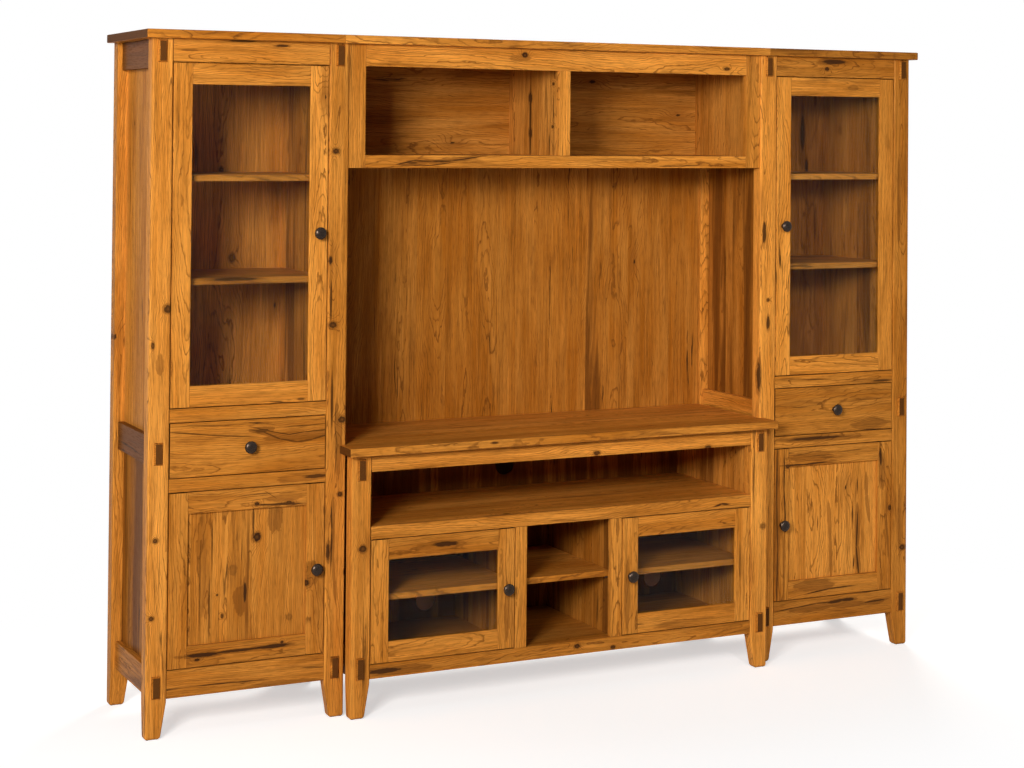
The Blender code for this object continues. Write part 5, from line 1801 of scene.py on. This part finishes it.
def build_lamps(settings):
    area_lamp("key_lamp", (-4.35, -4.85, 2.80), (-0.4, 0.0, 1.1), (1.5, 1.6), settings.key)
    area_lamp("side_lamp", (-3.1, -1.3, 2.9), (-1.38, 0.1, 1.7), (0.7, 0.7), settings.side)
    area_lamp("fill_lamp", (-0.2, -6.6, 4.6), (0.3, 0.0, 0.9), (2.6, 2.6), settings.fill)
    area_lamp("back_lamp", (2.6, 3.6, 4.6), (0.0, 0.27, 1.1), (2.0, 2.0), settings.back)
    spot = {"spot_size": math.radians(40.0), "spot_blend": 1.0, "shadow_soft_size": 0.30}
    add_lamp("far_lamp", "SPOT", (-0.5, -4.6, 2.5), (1.05, 0.0, 1.05), settings.far, **spot)


def build_camera(settings):
    data = bpy.data.cameras.new("photo_camera")
    data.sensor_width = SENSOR_W
    data.lens = settings.lens
    data.shift_x = SHIFT_X
    data.shift_y = SHIFT_Y
    data.clip_end = 60.0
    camera = bpy.data.objects.new("photo_camera", data)
    yaw = Matrix.Rotation(math.radians(YAW), 4, "Z")
    pitch = Matrix.Rotation(math.radians(PITCH), 4, "X")
    roll = Matrix.Rotation(math.radians(ROLL), 4, "Z")
    camera.matrix_world = Matrix.Translation(CAMERA_PLACE) @ yaw @ pitch @ roll
    bpy.context.scene.collection.objects.link(camera)
    bpy.context.scene.camera = camera


def build_stage():
    settings = bpy.context.scene.wall_unit_stage
    build_floor(settings)
    build_shade_discs()
    build_world(settings)
    build_lamps(settings)
    build_camera(settings)
    bpy.context.scene.view_settings.view_transform = "Standard"


# Operators


class MakerOperator:
    """What the operators of the add-on share: each runs its makers in order."""

    bl_options = {"REGISTER", "UNDO"}

    @classmethod
    def poll(cls, context):
        return context.scene is not None

    def execute(self, context):
        for maker in self.makers:
            maker()
        return {"FINISHED"}


class WALLUNIT_OT_finishes(MakerOperator, bpy.types.Operator):
    """Makes the wood, metal and glass materials"""

    bl_idname = "wall_unit.finishes"
    bl_label = "Finishes"
    makers = (build_finishes,)


class WALLUNIT_OT_posts(MakerOperator, bpy.types.Operator):
    """Makes the six front posts with their tapered feet"""

    bl_idname = "wall_unit.posts"
    bl_label = "Front posts"
    makers = (build_front_posts,)


class WALLUNIT_OT_sides(MakerOperator, bpy.types.Operator):
    """Makes the side frames with rails, through tenons and panels"""

    bl_idname = "wall_unit.sides"
    bl_label = "Side frames"
    makers = (build_sides,)


class WALLUNIT_OT_tops(MakerOperator, bpy.types.Operator):
    """Makes the top boards of the towers, the bridge and the console"""

    bl_idname = "wall_unit.tops"
    bl_label = "Top boards"
    makers = (build_tops, build_console_top)


class WALLUNIT_OT_decks(MakerOperator, bpy.types.Operator):
    """Makes the decks with their face rails"""

    bl_idname = "wall_unit.decks"
    bl_label = "Decks"
    makers = (build_decks,)


class WALLUNIT_OT_shelves(MakerOperator, bpy.types.Operator):
    """Makes the shelves and the pins under them"""

    bl_idname = "wall_unit.shelves"
    bl_label = "Shelves"
    makers = (build_shelves,)


class WALLUNIT_OT_doors(MakerOperator, bpy.types.Operator):
    """Makes the door frames, the wooden panels and the glass"""

    bl_idname = "wall_unit.doors"
    bl_label = "Doors"
    makers = (build_doors, build_panes)


class WALLUNIT_OT_drawers(MakerOperator, bpy.types.Operator):
    """Makes the two drawers"""

    bl_idname = "wall_unit.drawers"
    bl_label = "Drawers"
    makers = (build_drawers,)


class WALLUNIT_OT_backs(MakerOperator, bpy.types.Operator):
    """Makes the back panels"""

    bl_idname = "wall_unit.backs"
    bl_label = "Back panels"
    makers = (build_backs,)


class WALLUNIT_OT_partitions(MakerOperator, bpy.types.Operator):
    """Makes the console's partitions"""

    bl_idname = "wall_unit.partitions"
    bl_label = "Partitions"
    makers = (build_partitions,)


class WALLUNIT_OT_bridge(MakerOperator, bpy.types.Operator):
    """Makes the open case over the niche"""

    bl_idname = "wall_unit.bridge"
    bl_label = "Bridge"
    makers = (build_bridge,)


class WALLUNIT_OT_hardware(MakerOperator, bpy.types.Operator):
    """Makes the turned knobs and the concealed hinges"""

    bl_idname = "wall_unit.hardware"
    bl_label = "Knobs and hinges"
    makers = (build_knobs, build_hinges)


class WALLUNIT_OT_stage(MakerOperator, bpy.types.Operator):
    """Makes the floor, the lamps, the world and the camera"""

    bl_idname = "wall_unit.stage"
    bl_label = "Stage"
    makers = (build_stage,)


OPERATORS = (
    WALLUNIT_OT_finishes,
    WALLUNIT_OT_posts,
    WALLUNIT_OT_sides,
    WALLUNIT_OT_tops,
    WALLUNIT_OT_decks,
    WALLUNIT_OT_shelves,
    WALLUNIT_OT_doors,
    WALLUNIT_OT_drawers,
    WALLUNIT_OT_backs,
    WALLUNIT_OT_partitions,
    WALLUNIT_OT_bridge,
    WALLUNIT_OT_hardware,
    WALLUNIT_OT_stage,
)


class WALLUNIT_PT_sidebar(bpy.types.Panel):
    """Lists the wall unit's makers and settings"""

    bl_idname = "WALLUNIT_PT_sidebar"
    bl_label = "Wall Unit"
    bl_space_type = "VIEW_3D"
    bl_region_type = "UI"
    bl_category = "Wall Unit"

    def draw(self, context):
        layout = self.layout
        for operator in OPERATORS:
            layout.operator(operator.bl_idname)
        scene = context.scene
        groups = (scene.wall_unit_wood, scene.wall_unit_metal, scene.wall_unit_glass, scene.wall_unit_stage)
        for settings in groups:
            box = layout.box()
            for name in settings.__annotations__:
                box.prop(settings, name)


SETTINGS = {
    "wall_unit_wood": WoodSettings,
    "wall_unit_metal": MetalSettings,
    "wall_unit_glass": GlassSettings,
    "wall_unit_stage": StageSettings,
}
CLASSES = (*SETTINGS.values(), *OPERATORS, WALLUNIT_PT_sidebar)


def register():
    for cls in CLASSES:
        bpy.utils.register_class(cls)
    for name, settings in SETTINGS.items():
        setattr(bpy.types.Scene, name, PointerProperty(type=settings))


def unregister():
    for name in SETTINGS:
        delattr(bpy.types.Scene, name)
    for cls in reversed(CLASSES):
        bpy.utils.unregister_class(cls)


def main():
    register()
    for operator in OPERATORS:
        group, name = operator.bl_idname.split(".")
        getattr(getattr(bpy.ops, group), name)()


if __name__ == "__main__":
    main()
